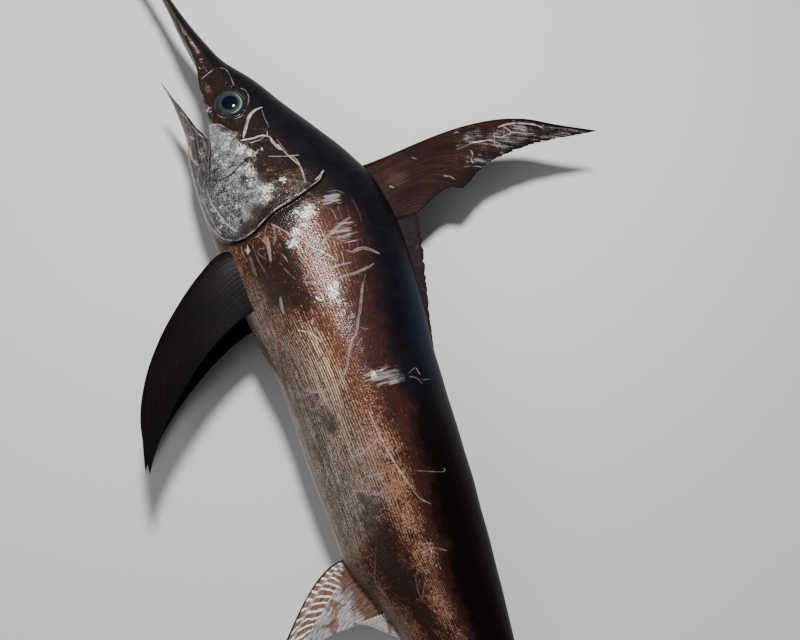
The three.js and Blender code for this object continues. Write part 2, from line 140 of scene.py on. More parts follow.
# Folds: line, depth, half width and reach past the ends, then the swelling beside it: height, half
# width, reach and distance from the line
HEAD_FOLDS = [
    (MOUTH_CREASE, 1.8, 3, 4, 0.9, 4, 6, 5),
    (GILL_CREASE, 1.5, 3.2, 5, 1.1, 6, 8, -7),
    (CHEEK_RIM, 1.0, 2.4, 4, 0, 1, 1, 0),
    (ORBIT_FOLD, 1.3, 2.6, 5, 1.0, 3.5, 6, 4.5),
]
# Ridges of the throat: their distances from its edge, height and half width
THROAT_RIDGES, THROAT_RIDGE_HEIGHT, THROAT_RIDGE_WIDTH = (7, 14.5, 22, 30), 0.9, 2.4
# Where the throat, the gill cover's lift and the body's faint ripple fade: from full to none or back
THROAT_FRONT, THROAT_TOP, THROAT_END = (120, 190), (-108, -84), 392
GILL_LIFT_TOP, GILL_LIFT_FOOT = (34, 78), (-162, -140)
HEAD_END = 430
RIPPLE_HEIGHT, RIPPLE_FRONT, RIPPLE_REAR = 0.5, (400, 520), (1250, 1330)

EYE_PLACE = (123, -56)
EYE_RADIUS, EYE_DEPTH, EYE_SUNK, EYE_TURN = 30, 15, 5, 0.16
ORBIT_REACH, ORBIT_SNAP = 40, 0.8
ORBIT_INNER, ORBIT_RADIUS, ORBIT_TUBE, ORBIT_RISE, SOCKET_DEPTH = 26.8, 29.5, 4, 2.4, 12
# The eye's shallow dish round the pupil and the pupil's rise: depth, radius, half width, rise, soft edge
DISH_DEPTH, DISH_RADIUS, DISH_WIDTH, PUPIL_RISE, PUPIL_EDGE = 0.3, 18, 5, 0.12, 3
NOSTRILS = [(72, -50), (83, -43)]
NOSTRIL_SIZE, NOSTRIL_DEPTH = 2.6, 2.6

# Where the skin changes: x and the place round the girth in degrees from the back. The material counts
# places round the girth in hundredths of a radian.
GIRTH_UNITS = 100
DARK_BACK = [
    (-20, 86), (4, 80), (36, 72), (85, 71), (144, 71), (217, 70), (280, 66), (339, 57), (383, 50),
    (442, 50), (491, 52), (560, 57), (612, 60), (682, 61), (734, 61), (844, 66), (930, 70), (960, 70),
    (990, 78), (1048, 79), (1150, 78), (1428, 74),
]
SILVER_HEAD = [
    (-20, 118), (100, 116), (148, 119), (156, 110), (175, 102), (189, 97), (211, 97), (228, 91),
    (246, 97), (261, 96), (278, 97), (304, 94), (318, 89), (335, 94), (346, 101), (356, 109),
    (388, 120),
]
SILVER_BODY = [
    (380, 178), (430, 165), (477, 139), (553, 136), (624, 129), (693, 120), (749, 113), (811, 109),
    (863, 113), (890, 122), (920, 138), (947, 156), (1010, 172), (1100, 172), (1200, 168), (1300, 160),
    (1428, 150),
]

# A line is looked for within the first distance of its points and fades past the second from its middle
LINE_SEARCH, LINE_FADE = 30, 4.5
# Pale rubbed lines on the left flank, one of them a painted glint along the fold above the eye: half width,
# strength and points in the side view. A strength over 1 makes the line cream. Lines that cross or run close
# together lie in different layers.
RUBBED_LINES = [
    [
        (3.2, 0.8, [(406, 79), (413, 62), (423, 45), (431, 32), (441, 20), (453, 10), (467, -2),
            (480, -14), (491, -24), (497, -32)]),
        (2.3, 0.8, [(523, 61), (540, 54), (556, 47), (572, 40), (588, 31), (600, 26), (610, 19),
            (618, 11), (628, 4), (641, -3), (655, -9), (665, -18), (674, -26), (679, -35), (679, -47),
            (677, -62), (670, -77), (662, -88)]),
        (1.2, 1.8, [(734, 1), (746, 2), (758, 3), (770, 4), (783, 6), (799, 9), (814, 12), (828, 15),
            (840, 18), (853, 22), (865, 26), (880, 31), (887, 35), (894, 42), (900, 49)]),
        (2.0, 1.5, [(484, 0), (489, 16), (488, 33), (488, 54)]),
        (1.0, 0.6, [(438, 63), (453, 60), (466, 57)]),
        (1.4, 0.6, [(377, -56), (384, -63), (392, -67), (404, -71)]),
        (2.4, 1.9, [(398, -102), (407, -103), (415, -107)]),
        (1.2, 1.5, [(439, -53), (447, -49), (458, -47)]),
        (1.2, 0.5, [(464, -56), (478, -50), (492, -42)]),
        (2.6, 0.9, [(506, -76), (518, -78), (527, -79), (538, -79)]),
        (2.4, 0.5, [(789, -88), (807, -93), (820, -99)]),
        (0.9, 1.6, [(964, 7), (962, 21), (964, 34), (974, 50)]),
        (1.0, 0.8, [(694, 81), (689, 90), (685, 98)]),
        (1.0, 0.5, [(929, -52), (957, -63), (978, -70), (995, -67), (1014, -57)]),
        (2.8, 1.9, [(144, -3), (147, -15), (154, -26), (166, -35), (186, -45), (202, -53)]),
        (2.8, 1.8, [(214, -8), (227, -6), (237, -2), (250, 4)]),
        (1.5, 1.5, [(262, 14), (275, 23), (300, 25), (327, 24)]),
        (1.2, 1.6, [(28, -65), (35, -75), (39, -83), (45, -92)]),
        (1.0, 1.5, [(302, -124), (322, -118), (344, -108)]),
        (1.3, 1.8, [(14, -163.5), (56, -149), (107, -131), (147, -119.5), (172, -112)]),
    ],
    [
        (2.8, 0.8, [(498, -34), (505, -20), (507, -4), (510, 17), (509, 35), (508, 52), (505, 67),
            (501, 81), (496, 90)]),
        (3.2, 0.75, [(464, 51), (470, 60), (467, 71), (467, 83), (472, 92), (481, 105)]),
        (1.3, 1.85, [(383, -52), (400, -38), (418, -24), (430, -12), (440, -5), (449, 2), (453, 10),
            (465, 18), (475, 27), (482, 31)]),
        (1.2, 0.8, [(382, 49), (391, 53), (405, 53)]),
        (0.8, 0.35, [(381, 76), (404, 78), (423, 77)]),
        (1.0, 0.6, [(395, -81), (405, -75), (416, -73)]),
        (1.2, 0.45, [(403, -94), (423, -93), (440, -91), (453, -88), (465, -86)]),
        (1.0, 0.8, [(412, -132), (423, -129), (435, -128)]),
        (1.2, 0.7, [(600, 31), (605, 37), (607, 44)]),
        (0.9, 1.6, [(685, 98), (694, 99), (701, 102)]),
        (2.2, 1.6, [(570, -67), (576, -58), (583, -48), (595, -40), (606, -35)]),
        (2.4, 0.8, [(792, -51), (793, -41), (794, -32), (791, -23), (787, -13), (783, -4), (778, 3)]),
        (1.0, 0.9, [(843, 38), (849, 55), (855, 72), (858, 83), (856, 87), (851, 85)]),
        (1.0, 1.5, [(830, -21), (831, -15), (833, -10)]),
        (1.0, 1.5, [(845, -16), (848, -11), (854, -8), (859, -6)]),
        (1.6, 1.3, [(838, -64), (845, -50), (850, -36)]),
        (1.6, 1.3, [(861, -1), (867, 11), (872, 27)]),
        (1.8, 0.8, [(887, -43), (891, -35)]),
        (2.2, 1.4, [(898, 0), (907, 0), (915, 1)]),
        (0.9, 1.6, [(954, 34), (962, 28), (967, 21)]),
        (2.0, 1.9, [(205, -59), (207, -47), (208, -35), (207, -24), (210, -14), (214, -8)]),
        (1.0, 0.6, [(148, -5), (168, -6), (185, -4), (194, -4)]),
        (1.3, 1.7, [(253, -24), (260, -3), (266, 31)]),
        (1.0, 1.2, [(15, -78), (31, -78)]),
        (1.1, 1.35, [(28, -53), (33, -44), (49, -40), (68, -39), (81, -39)]),
        # This line paints a glint along the fold above the eye
        (0.8, 1.6, [(89, -30), (96, -22), (109, -20), (121, -22), (135, -28)]),
        (1.1, 1.6, [(152, -104), (149, -99), (156, -86), (169, -76), (180, -68), (188, -61), (194, -71),
            (198, -78)]),
        (2.0, 1.75, [(181, -108), (190, -108), (199, -111)]),
        (2.4, 1.75, [(140, -144), (149, -139), (157, -136)]),
        (1.4, 1.75, [(245, -137), (250, -141), (253, -146)]),
        (1.1, 0.4, [(983, 14), (987, -6), (1006, -12), (1029, -11), (1009, -1), (993, 10), (980, 28)]),
    ],
    [
        (1.4, 1.85, [(410, -8), (424, 1), (435, 10), (442, 16)]),
        (1.0, 1.7, [(443, -29), (454, -23), (465, -20), (475, -16)]),
        (1.2, 1.7, [(395, 14), (406, 19), (417, 24)]),
        (1.0, 1.4, [(443, 41), (453, 34), (466, 33), (479, 33)]),
        (1.1, 1.3, [(351, 54), (350, 62), (351, 72), (355, 78), (360, 83)]),
        (0.8, 0.4, [(416, 82), (443, 77), (465, 72)]),
        (0.8, 0.35, [(474, 62), (496, 58), (515, 59)]),
        (2.4, 0.45, [(380, -53), (391, -51), (402, -53), (412, -56), (421, -62)]),
        (1.6, 0.9, [(391, -72), (393, -82), (394, -86)]),
        (1.2, 0.6, [(420, -76), (416, -85), (421, -89), (431, -84), (439, -78)]),
        (1.6, 0.8, [(395, -112), (406, -114), (418, -112)]),
        (0.9, 0.45, [(512, 70), (528, 61), (553, 50)]),
        (1.0, 0.7, [(621, 19), (632, 22), (644, 21)]),
        (0.9, 1.5, [(698, 81), (705, 95), (713, 97), (715, 102)]),
        (0.9, 1.3, [(772, 10), (789, 12), (808, 16), (823, 19)]),
        (1.0, 1.5, [(833, -10), (838, -13), (838, -22)]),
        (2.6, 0.8, [(851, -34), (859, -26), (858, -13)]),
        (0.8, 1.5, [(952, 22), (960, 26), (967, 32)]),
        (1.1, 1.7, [(216, -46), (216, -35), (215, -26), (210, -16)]),
        (0.9, 0.8, [(222, 2), (237, 6), (257, 13)]),
        (1.4, 1.7, [(134, -43), (141, -39), (146, -33)]),
        (1.0, 1.3, [(134, -84), (143, -79), (149, -71), (151, -60)]),
        (1.8, 1.9, [(325, 40), (316, 52), (306, 62)]),
        (1.1, 1.6, [(80, -147), (110, -138), (141, -129), (168, -119)]),
        (1.5, 1.65, [(185, -135), (192, -133), (198, -130)]),
        (1.6, 1.5, [(260, -156), (302, -150), (341, -144), (359, -137)]),
    ],
    [
        (1.2, 1.6, [(400, -10), (416, -8), (432, -5), (448, -1), (458, 1)]),
        (0.9, 1.4, [(454, -29), (467, -24), (478, -20)]),
        (0.9, 1.5, [(462, 43), (477, 42), (488, 40)]),
        (1.1, 0.8, [(436, 46), (443, 56), (449, 67)]),
        (2.4, 0.7, [(356, 50), (375, 46)]),
        (0.8, 0.4, [(379, 63), (395, 63), (409, 62)]),
        (0.8, 0.3, [(369, 92), (394, 95), (418, 94)]),
        (3.0, 0.9, [(400, -66), (414, -69), (428, -71), (446, -73)]),
        (2.6, 0.4, [(417, -104), (430, -104), (445, -104), (458, -102)]),
        (1.0, 0.7, [(451, -61), (460, -56)]),
        (1.0, 0.6, [(617, 30), (622, 23), (624, 18)]),
        (0.8, 0.8, [(708, 99), (709, 116)]),
        (1.1, 1.6, [(200, -9), (211, -12)]),
        (1.8, 1.7, [(233, 0), (256, 9), (289, 25)]),
        (1.6, 0.3, [(300, -20), (318, 12), (330, 34)]),
        (2.1, 1.8, [(157, -149), (170, -150), (184, -150), (198, -147), (210, -144)]),
        (1.8, 1.7, [(259, -140), (286, -140), (316, -134), (347, -125), (371, -111)]),
    ],
]
# Painted shade along folds, creases and the belly's edge, in the same form; a strength over 1 makes a red
# line
FOLD_SHADE_AND_RED_LINES = [
    [
        (1.6, 0.85, MOUTH_CREASE),
        (2.8, 1.6, [(511, -107), (534, -103), (553, -100), (570, -101), (585, -104), (601, -106),
            (617, -108), (631, -111), (647, -113), (666, -114), (690, -115), (730, -117)]),
        (1.8, 0.6, ORBIT_FOLD),
        (1.6, 0.4, [(500, -136), (600, -122), (720, -114), (840, -110), (910, -104)]),
        (1.4, 0.5, [(900, 30), (930, 6), (948, 24), (960, 52)]),
    ],
    [
        (2.4, 0.9, GILL_CREASE),
        (1.2, 0.5, CHEEK_RIM),
        (1.2, 0.5, [(158, -146), (213, -139), (256, -139), (300, -142), (336, -138), (366, -122)]),
        (1.5, 0.6, [(930, 10), (950, 34), (990, 44), (1020, 30)]),
        (1.2, 0.5, [(920, -80), (960, -70), (1010, -56), (1050, -40)]),
        (1.2, 1.4, [(620, -101), (637, -100), (653, -101)]),
    ],
]

# Soft patches on the left flank: x, y, their reach along and round the body, and strength
WARM_PATCHES = [
    (395, 30, 40, 30, 0.9), (424, 18, 44, 40, 1.1), (470, 22, 44, 40, 1.1), (505, 6, 44, 30, 1.0),
    (570, -16, 46, 26, 0.8), (620, 6, 60, 34, 0.9), (700, 8, 60, 30, 0.9), (800, 10, 60, 24, 0.7),
    (858, 10, 60, 26, 0.9), (915, 6, 40, 24, 1.0), (975, 24, 44, 26, 1.0), (1040, 18, 50, 26, 0.9),
    (1100, 32, 60, 26, 0.8), (1160, 36, 60, 22, 0.6), (212, -26, 22, 14, 0.6), (306, 4, 24, 18, 1.0),
    (322, -8, 20, 16, 0.9), (76, -84, 20, 9, 1.0), (330, 16, 18, 12, 0.8), (168, -46, 12, 10, 0.5),
]
DARK_PATCHES = [
    (474, -70, 60, 34, 1.2), (428, -92, 34, 20, 0.9), (520, -50, 40, 22, 0.8), (890, -46, 40, 22, 0.8),
    (936, -42, 46, 30, 1.0), (990, -34, 56, 32, 1.1), (1050, -16, 50, 26, 0.8), (243, -32, 17, 13, 1.3),
    (290, -16, 24, 20, 1.3), (285, -73, 18, 8, 1.0), (100, -26, 40, 14, 1.1), (117, -19, 20, 10, 1.1),
    (700, 36, 90, 16, 0.6), (392, -29, 22, 12, 1.0), (435, -45, 26, 12, 0.9), (160, -38, 16, 14, 1.2),
    (150, -66, 24, 10, 0.8), (1180, 20, 120, 60, 0.9), (1300, 30, 120, 60, 0.9),
    (372, -92, 18, 22, 0.9), (352, -70, 18, 16, 0.8), (236, 24, 50, 16, 0.6), (275, -33, 24, 12, 1.2),
    (728, -65, 56, 24, 0.6),
]
LINED_PATCHES = [
    (606, -46, 50, 26, 1.0), (646, -48, 54, 28, 1.1), (690, -46, 54, 26, 1.0), (738, -52, 60, 28, 0.9),
    (790, -44, 60, 30, 0.8), (840, -40, 56, 28, 0.7), (735, -6, 50, 12, 0.3), (1060, 26, 60, 24, 0.3),
    (430, 50, 50, 24, 0.3), (620, -96, 120, 26, 0.4), (760, -88, 120, 24, 0.5), (172, -96, 26, 16, 0.9),
    (196, -84, 20, 14, 0.8), (276, 10, 36, 11, 0.8), (436, 14, 40, 34, 0.7), (496, 10, 50, 30, 0.8),
    (560, -4, 44, 26, 0.7), (614, 4, 40, 22, 0.4),
]
# Pale patches: partly pale scraped skin, partly painted highlights and wet glints on the flank and snout
PALE_SKIN_AND_GLINT_PATCHES = [
    (222, -64, 17, 12, 1.0), (237, -50, 13, 9, 0.9), (258, -62, 12, 8, 0.6), (270, -62, 20, 10, 0.9),
    (318, -44, 14, 12, 0.9), (309, -12, 9, 6, 0.7), (205, -82, 16, 11, 0.7), (296, -66, 16, 10, 0.7),
    (330, -50, 14, 12, 0.7), (383, 12, 16, 11, 1.0), (411, -15, 14, 9, 1.0), (428, -29, 13, 9, 1.0),
    (373, -7, 8, 6, 0.8), (399, -2, 12, 8, 0.7), (531, 7, 18, 7, 1.0), (520, 14, 12, 7, 0.8),
    (556, 21, 8, 5, 0.55), (577, 26, 9, 5, 0.5), (535, -18, 8, 4, 0.7), (562, -16, 7, 4, 0.6),
    (566, -39, 7, 4, 0.6), (118, -94, 14, 7, 0.5), (966, 26, 14, 8, 0.5), (16, -88, 14, 4, 0.4),
    (30, -56, 8, 6, 0.4), (508, 24, 10, 8, 0.5), (270, -88, 22, 14, 0.4), (344, -86, 16, 12, 0.45),
    (680, 27, 6, 6, 1.0), (677, 39, 5, 5, 0.8), (408, -103, 9, 4, 0.9), (990, 30, 16, 7, 0.4),
    (336, -131, 8, 5, 0.8), (313, -136, 8, 4, 0.8), (298, -139, 6, 4, 0.6), (235, -30, 8, 5, 0.6),
]
PINK_PATCHES = [
    (415, -70, 20, 4, 0.9), (440, -66, 12, 10, 0.4), (430, -125, 30, 5, 0.6), (907, -112, 50, 7, 0.9),
    (1000, -70, 40, 5, 0.5), (600, -12, 60, 20, 0.3), (540, -14, 50, 16, 0.3), (560, -128, 60, 6, 0.5),
]
VEIL_PATCHES = [
    (4, -82, 18, 8, 0.4), (687, 40, 14, 15, 1.2), (692, 58, 13, 15, 1.1), (697, 74, 9, 11, 1.0),
    (680, 27, 10, 10, 1.0), (430, 62, 26, 16, 0.6), (364, 62, 14, 12, 0.8), (668, 47, 5, 8, 0.5),
    (830, -30, 16, 14, 0.4),
]

# Fineness of the skin: rings from x to x at a spacing, and columns round each flank
SKIN_RINGS = [
    (SNOUT_CUT, 85, 2.4), (85, 163, 1.5), (163, 306, 2.2), (306, 396, 1.6), (396, 760, 3.6),
    (760, TAIL_BONE_END, 6.4),
]
LEFT_COLUMNS, RIGHT_COLUMNS = 144, 54
# Points of a tube that lie closer than this, in metres, become one
MERGE_DISTANCE = 2e-6


def curve_through(points):
    """A smooth curve y(x) through points that never swings past them."""
    xs, ys = np.array(points, float).T
    widths = np.diff(xs)
    slopes = np.diff(ys) / widths
    tangents = np.concatenate([slopes[:1], np.zeros(len(xs) - 2), slopes[-1:]])
    product = slopes[:-1] * slopes[1:]
    level = slopes[:-1] + slopes[1:]
    tangents[1:-1] = np.where(product > 0, 2 * product / np.where(level == 0, 1, level), 0)

    def value(x):
        x = np.asarray(x, float)
        i = np.clip(np.searchsorted(xs, x) - 1, 0, len(widths) - 1)
        t = np.clip((x - xs[i]) / widths[i], 0, 1)
        rise = ys[i + 1] - ys[i]
        bend_in = tangents[i] * widths[i] - rise
        bend_out = rise - tangents[i + 1] * widths[i]
        return ys[i] + t * rise + t * (1 - t) * ((1 - t) * bend_in + t * bend_out)

    return value


def station_curves(stations, roundness):
    """The curves of a long body, by name."""
    curves = {name: curve_through([(row[0], row[i]) for row in stations])
              for i, name in enumerate(("back", "widest", "belly", "half"), 1)}
    curves["above"] = curve_through([row[:2] for row in roundness])
    curves["below"] = curve_through([(row[0], row[2]) for row in roundness])
    return curves


BODY = station_curves(BODY_STATIONS, BODY_ROUNDNESS)
BILL = station_curves(BILL_STATIONS, BILL_ROUNDNESS)


def blend(low, high, value):
    """0 below low, 1 above high, and a smooth rise between them."""
    t = np.clip((value - low) / (high - low), 0, 1)
    return t * t * (3 - 2 * t)


def mid_level(x):
    """Height of the fish's middle plane over the floor."""
    return REST_HEIGHT - SAG_DEPTH * blend(SAG_FROM, SAG_TO, x)


def keel_at(x):
    """How far the keel on each side of the tail's stalk stands out."""
    along = (x - KEEL_CENTRE) / KEEL_HALF_LENGTH
    return KEEL_HEIGHT * np.maximum(0, 1 - along * along) ** 1.5


def reach_at(curves, x, up):
    """How far a long body reaches from its widest level: up to its back, or else down to its belly."""
    widest = curves["widest"](x)
    return np.where(up, curves["back"](x) - widest, widest - curves["belly"](x))


def round_point(curves, x, angle):
    """A point of a long body. The angle starts at the back and turns over the left flank."""
    up, out = np.cos(angle), np.sin(angle)
    power = 2 / np.where(up > 0, curves["above"](x), curves["below"](x))
    side = curves["half"](x) + keel_at(x) * np.abs(out) ** KEEL_SHARPNESS
    y = curves["widest"](x) + np.sign(up) * np.abs(up) ** power * reach_at(curves, x, up > 0)
    z = mid_level(x) + np.sign(out) * np.abs(out) ** power * side
    return np.stack([x, y, z], 1)


def section_share(x, y):
    """Whether y is over the body's widest level, its share of the way to the back or belly, and the
    section's roundness there."""
    widest = BODY["widest"](x)
    up = y > widest
    power = np.where(up, BODY["above"](x), BODY["below"](x))
    return up, np.clip(np.abs(y - widest) / reach_at(BODY, x, up), 0, 1), power


def flank_angle(x, y):
    """The angle round the body of a place in the side view, from 0 at the back to pi at the belly."""
    up, share, power = section_share(x, y)
    cosine = share ** (power / 2)
    return np.arccos(np.where(up, cosine, -cosine))


def flank_half(x, y):
    """Half width of the body at a place in the side view."""
    share, power = section_share(x, y)[1:]
    return BODY["half"](x) * (1 - share ** power) ** (1 / power)


def normal_at(x, angle):
    """The body's outward direction."""
    step = 0.5
    turn = 0.01
    along = round_point(BODY, x + step, angle) - round_point(BODY, x - step, angle)
    around = round_point(BODY, x, angle + turn) - round_point(BODY, x, angle - turn)
    normal = np.cross(around, along)
    return normal / np.maximum(1e-9, np.linalg.norm(normal, axis=1))[:, None]


def spline(points, share):
    """Places on a curve through points, at shares of it from 0 to 1."""
    p = np.array(points, float)
    last = len(p) - 1
    place = np.asarray(share, float) * last
    i = np.clip(place.astype(int), 0, last - 1)
    t = (place - i)[:, None]
    before, start, end, after = p[np.maximum(i - 1, 0)], p[i], p[i + 1], p[np.minimum(i + 2, last)]
    lead_in, lead_out = (end - before) / 2, (after - start) / 2
    cubic = 2 * (start - end) + lead_in + lead_out
    square = 3 * (end - start) - 2 * lead_in - lead_out
    return ((cubic * t + square) * t + lead_in) * t + start


def beside(x, y, points):
    """Where places lie beside a line: signed distance, share along it and distance past its ends. Gives the
    line's length too."""
    line = spline(points, np.linspace(0, 1, 6 * len(points) - 5))
    place = np.stack([x, y], 1)
    steps = np.diff(line, axis=0)
    lengths = np.hypot(*steps.T)
    starts = np.concatenate([[0], np.cumsum(lengths)])
    closest = np.full(len(x), np.inf)
    found = np.zeros((3, len(x)))
    for i, (step, length) in enumerate(zip(steps, lengths)):
        offset = place - line[i]
        free = offset @ step / length ** 2
        t = np.clip(free, 0, 1)
        distance = np.hypot(*(place - (line[i] + t[:, None] * step)).T)
        closer = distance < closest
        closest[closer] = distance[closer]
        side = (step[0] * offset[:, 1] - step[1] * offset[:, 0]) / length
        before = np.maximum(0, -free) * (i == 0)
        after = np.maximum(0, free - 1) * (i == len(steps) - 1)
        values = np.stack([side, (starts[i] + t * length) / starts[-1], (before + after) * length])
        found[:, closer] = values[:, closer]
    return *found, starts[-1]


def bump_at(distance, width):
    """A rounded rise round 0, of that half width."""
    return np.exp(-(distance / width) ** 2)


def to_part(points):
    """From the fish's own frame in millimetres to the part's frame in metres."""
    return (points + SHIFT) * MM


def wound_tube(along, around, place, kept_name=None, kept=None):
    """A closed tube wound from a flat grid. place(u, v) gives its points, u along it and v once round it, and
    kept(u, v) the three values that each of them keeps under a name."""
    bm = bmesh.new()
    bmesh.ops.create_grid(bm, x_segments=along, y_segments=around, size=0.5)
    u, v, _ = (np.array([vert.co for vert in bm.verts]) + 0.5).T
    for vert, point in zip(bm.verts, place(u, v)):
        vert.co = point
    if kept:
        layer = bm.verts.layers.float_vector.new(kept_name)
        for vert, values in zip(bm.verts, zip(*kept(u, v))):
            vert[layer] = values
    bmesh.ops.remove_doubles(bm, verts=bm.verts, dist=MERGE_DISTANCE)
    bmesh.ops.holes_fill(bm, edges=[edge for edge in bm.edges if edge.is_boundary], sides=0)
    bmesh.ops.recalc_face_normals(bm, faces=bm.faces)
    return bm


def to_object(name, bm, material):
    """A finished mesh as an object at the origin."""
    for face in bm.faces:
        face.smooth = True
    mesh = bpy.data.meshes.new(name)
    bm.to_mesh(mesh)
    bm.free()
    if material:
        mesh.materials.append(material)
    piece = bpy.data.objects.new(name, mesh)
    bpy.context.scene.collection.objects.link(piece)
    return piece


def mesh_points(mesh):
    """A mesh's points in the fish's own frame."""
    flat = np.empty(len(mesh.vertices) * 3)
    mesh.vertices.foreach_get("co", flat)
    return flat.reshape(-1, 3) / MM - SHIFT


def paint_values(mesh, name, *columns):
    """Three values for each point, kept on the mesh as a named attribute."""
    values = np.stack(columns, 1).astype(np.float32)
    mesh.attributes.new(name, "FLOAT_VECTOR", "POINT").data.foreach_set("vector", values.ravel())


def stand_for(piece, slot, *nodes):
    """The piece rides on the part and shows in the place of its nodes. The slot is not used."""
    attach(piece, "root")
    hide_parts(*nodes)


class Paint:
    """Short ways to lay out one material's nodes."""

    def __init__(self, name):
        self.material = bpy.data.materials.new(name)
        self.material.use_nodes = True
        self.tree = self.material.node_tree
        self.shader = self.tree.nodes["Principled BSDF"]
        self.place = self.add("ShaderNodeTexCoord").outputs["Object"]

    def add(self, kind, **settings):
        made = self.tree.nodes.new(kind)
        for key, value in settings.items():
            setattr(made, key, value)
        return made

    def feed(self, socket, value):
        if isinstance(value, bpy.types.NodeSocket):
            self.tree.links.new(value, socket)
        else:
            socket.default_value = value

    def attribute(self, name):
        """The three values of a named attribute."""
        return self.split(self.add("ShaderNodeAttribute", attribute_name=name).outputs["Vector"])

    def split(self, vector):
        parts = self.add("ShaderNodeSeparateXYZ")
        self.feed(parts.inputs[0], vector)
        return parts.outputs[0], parts.outputs[1], parts.outputs[2]

    def join(self, x, y, z=0.0):
        made = self.add("ShaderNodeCombineXYZ")
        for socket, value in zip(made.inputs, (x, y, z)):
            self.feed(socket, value)
        return made.outputs[0]

    def math(self, operation, a, b=0.0, c=0.0):
        made = self.add("ShaderNodeMath", operation=operation)
        for socket, value in zip(made.inputs, (a, b, c)):
            self.feed(socket, value)
        return made.outputs[0]

    def plus(self, *values):
        total = values[0]
        for value in values[1:]:
            total = self.math("ADD", total, value)
        return total

    def times(self, *values):
        product = values[0]
        for value in values[1:]:
            product = self.math("MULTIPLY", product, value)
        return product

    def weigh(self, base, *terms):
        """A base and the terms, each a value and its weight, added up."""
        return self.plus(base, *(self.times(value, weight) for value, weight in terms))

    def most(self, a, b):
        return self.math("MAXIMUM", a, b)

    def far(self, value, middle=0.0):
        """How far a value is from the middle."""
        return self.math("ABSOLUTE", self.plus(value, -middle))

    def sway(self, noise, reach):
        """A noise turned to swing round 0 over that reach."""
        return self.math("MULTIPLY_ADD", noise, reach, -0.5 * reach)

    def stretch(self, vector, scale):
        made = self.add("ShaderNodeVectorMath", operation="MULTIPLY")
        self.feed(made.inputs[0], vector)
        made.inputs[1].default_value = scale
        return made.outputs[0]

    def noise(self, vector, scale=1.0, detail=3.0, rough=0.55, warp=0.0):
        made = self.add("ShaderNodeTexNoise")
        self.feed(made.inputs["Vector"], vector)
        for key, value in (("Scale", scale), ("Detail", detail), ("Roughness", rough), ("Distortion", warp)):
            made.inputs[key].default_value = value
        return made.outputs[0]

    def rise(self, value, low, high, bottom=0.0, top=1.0):
        """bottom where value is under low, top where it is over high, smooth between them."""
        made = self.add("ShaderNodeMapRange", interpolation_type="SMOOTHSTEP")
        names = ("Value", "From Min", "From Max", "To Min", "To Max")
        for key, number in zip(names, (value, low, high, bottom, top)):
            self.feed(made.inputs[key], number)
        return made.outputs[0]

    def mix_values(self, share, under, over):
        """under where share is 0 and over where it is 1."""
        made = self.add("ShaderNodeMix")
        for number, value in ((0, share), (2, under), (3, over)):
            self.feed(made.inputs[number], value)
        return made.outputs[0]

    def mix(self, share, under, over):
        """The same for colours."""
        made = self.add("ShaderNodeMix", data_type="RGBA")
        self.feed(made.inputs[0], share)
        for socket, value in ((made.inputs[6], under), (made.inputs[7], over)):
            self.feed(socket, value if isinstance(value, bpy.types.NodeSocket) else (*value, 1.0))
        return made.outputs[2]

    def coats(self, colour, **layers):
        """A colour under named layers, each a share and a colour, in their order."""
        for share, over in layers.values():
            colour = self.mix(share, colour, over)
        return colour

    def raise_by(self, height, distance, under=None):
        """A bump of that height in metres."""
        made = self.add("ShaderNodeBump")
        made.inputs["Strength"].default_value = 1.0
        made.inputs["Distance"].default_value = distance
        self.feed(made.inputs["Height"], height)
        if under:
            self.feed(made.inputs["Normal"], under)
        return made.outputs[0]

    def set(self, **sockets):
        """Feeds the shader's sockets, named with underscores for their spaces."""
        for name, value in sockets.items():
            if isinstance(value, tuple):
                value = (*value, 1.0)
            self.feed(self.shader.inputs[name.replace("_", " ")], value)


def tint(name, description, default):
    """A colour that the user can change."""
    return FloatVectorProperty(name=name, description=description, subtype="COLOR", size=3, min=0, max=1,
                               default=default)


class SwordfishSkinLook(bpy.types.PropertyGroup):
    back: tint("Back", "Colour of the back", (0.0035, 0.0032, 0.006))
    flank: tint("Flank", "Dark colour of the flank", (0.07, 0.024, 0.014))
    warm: tint("Warm", "Dark colour of the flank's copper patches", (0.095, 0.029, 0.016))
    bronze: tint("Bronze", "Colour of the fine flecks on the flank", (0.4, 0.215, 0.13))
    silver: tint("Silver", "Light colour of the cheek", (0.36, 0.36, 0.362))
    rubbed: tint("Rubbed", "Colour of the rubbed lines", (0.27, 0.215, 0.21))
    streak_spacing: FloatProperty(
        name="Streak spacing", description="Distance between the flank's fine streaks", unit="LENGTH",
        min=0.001, max=0.01, default=0.0034)
    wetness: FloatProperty(
        name="Wetness", description="Weight of the wet film over the skin", subtype="FACTOR",
        min=0, max=1, default=0.3)


class SwordfishFinLook(bpy.types.PropertyGroup):
    colour: tint("Fin", "Colour of the fins", (0.0045, 0.0035, 0.005))
    brown: tint("Fin brown", "Colour between the first dorsal fin's rays", (0.05, 0.0165, 0.0085))
    pale: tint("Fin pale", "Colour of bare rays and rubbed places", (0.27, 0.25, 0.245))
    rows: IntProperty(
        name="Rows", description="Rows of faces from a fin's base to its margin", min=20, max=200, default=96)


class SwordfishEyeLook(bpy.types.PropertyGroup):
    pupil: tint("Pupil", "Colour of the pupil", (0.0008, 0.0022, 0.0095))
    ring: tint("Ring", "Colour of the ring round the pupil", (0.05, 0.064, 0.057))
    pupil_radius: FloatProperty(
        name="Pupil radius", description="Radius of the pupil", unit="LENGTH",
        min=0.005, max=0.02, default=0.0136)


class SwordfishStageLook(bpy.types.PropertyGroup):
    floor: tint("Floor", "Colour of the floor", (0.72, 0.71, 0.69))
    key_power: FloatProperty(
        name="Key light", description="Power of the main soft light", unit="POWER", min=0, default=80)
    fill_power: FloatProperty(
        name="Fill light", description="Power of the second soft light", unit="POWER", min=0, default=14)
    sky: FloatProperty(
        name="Sky", description="Strength of the even light from all round", min=0, default=0.14)


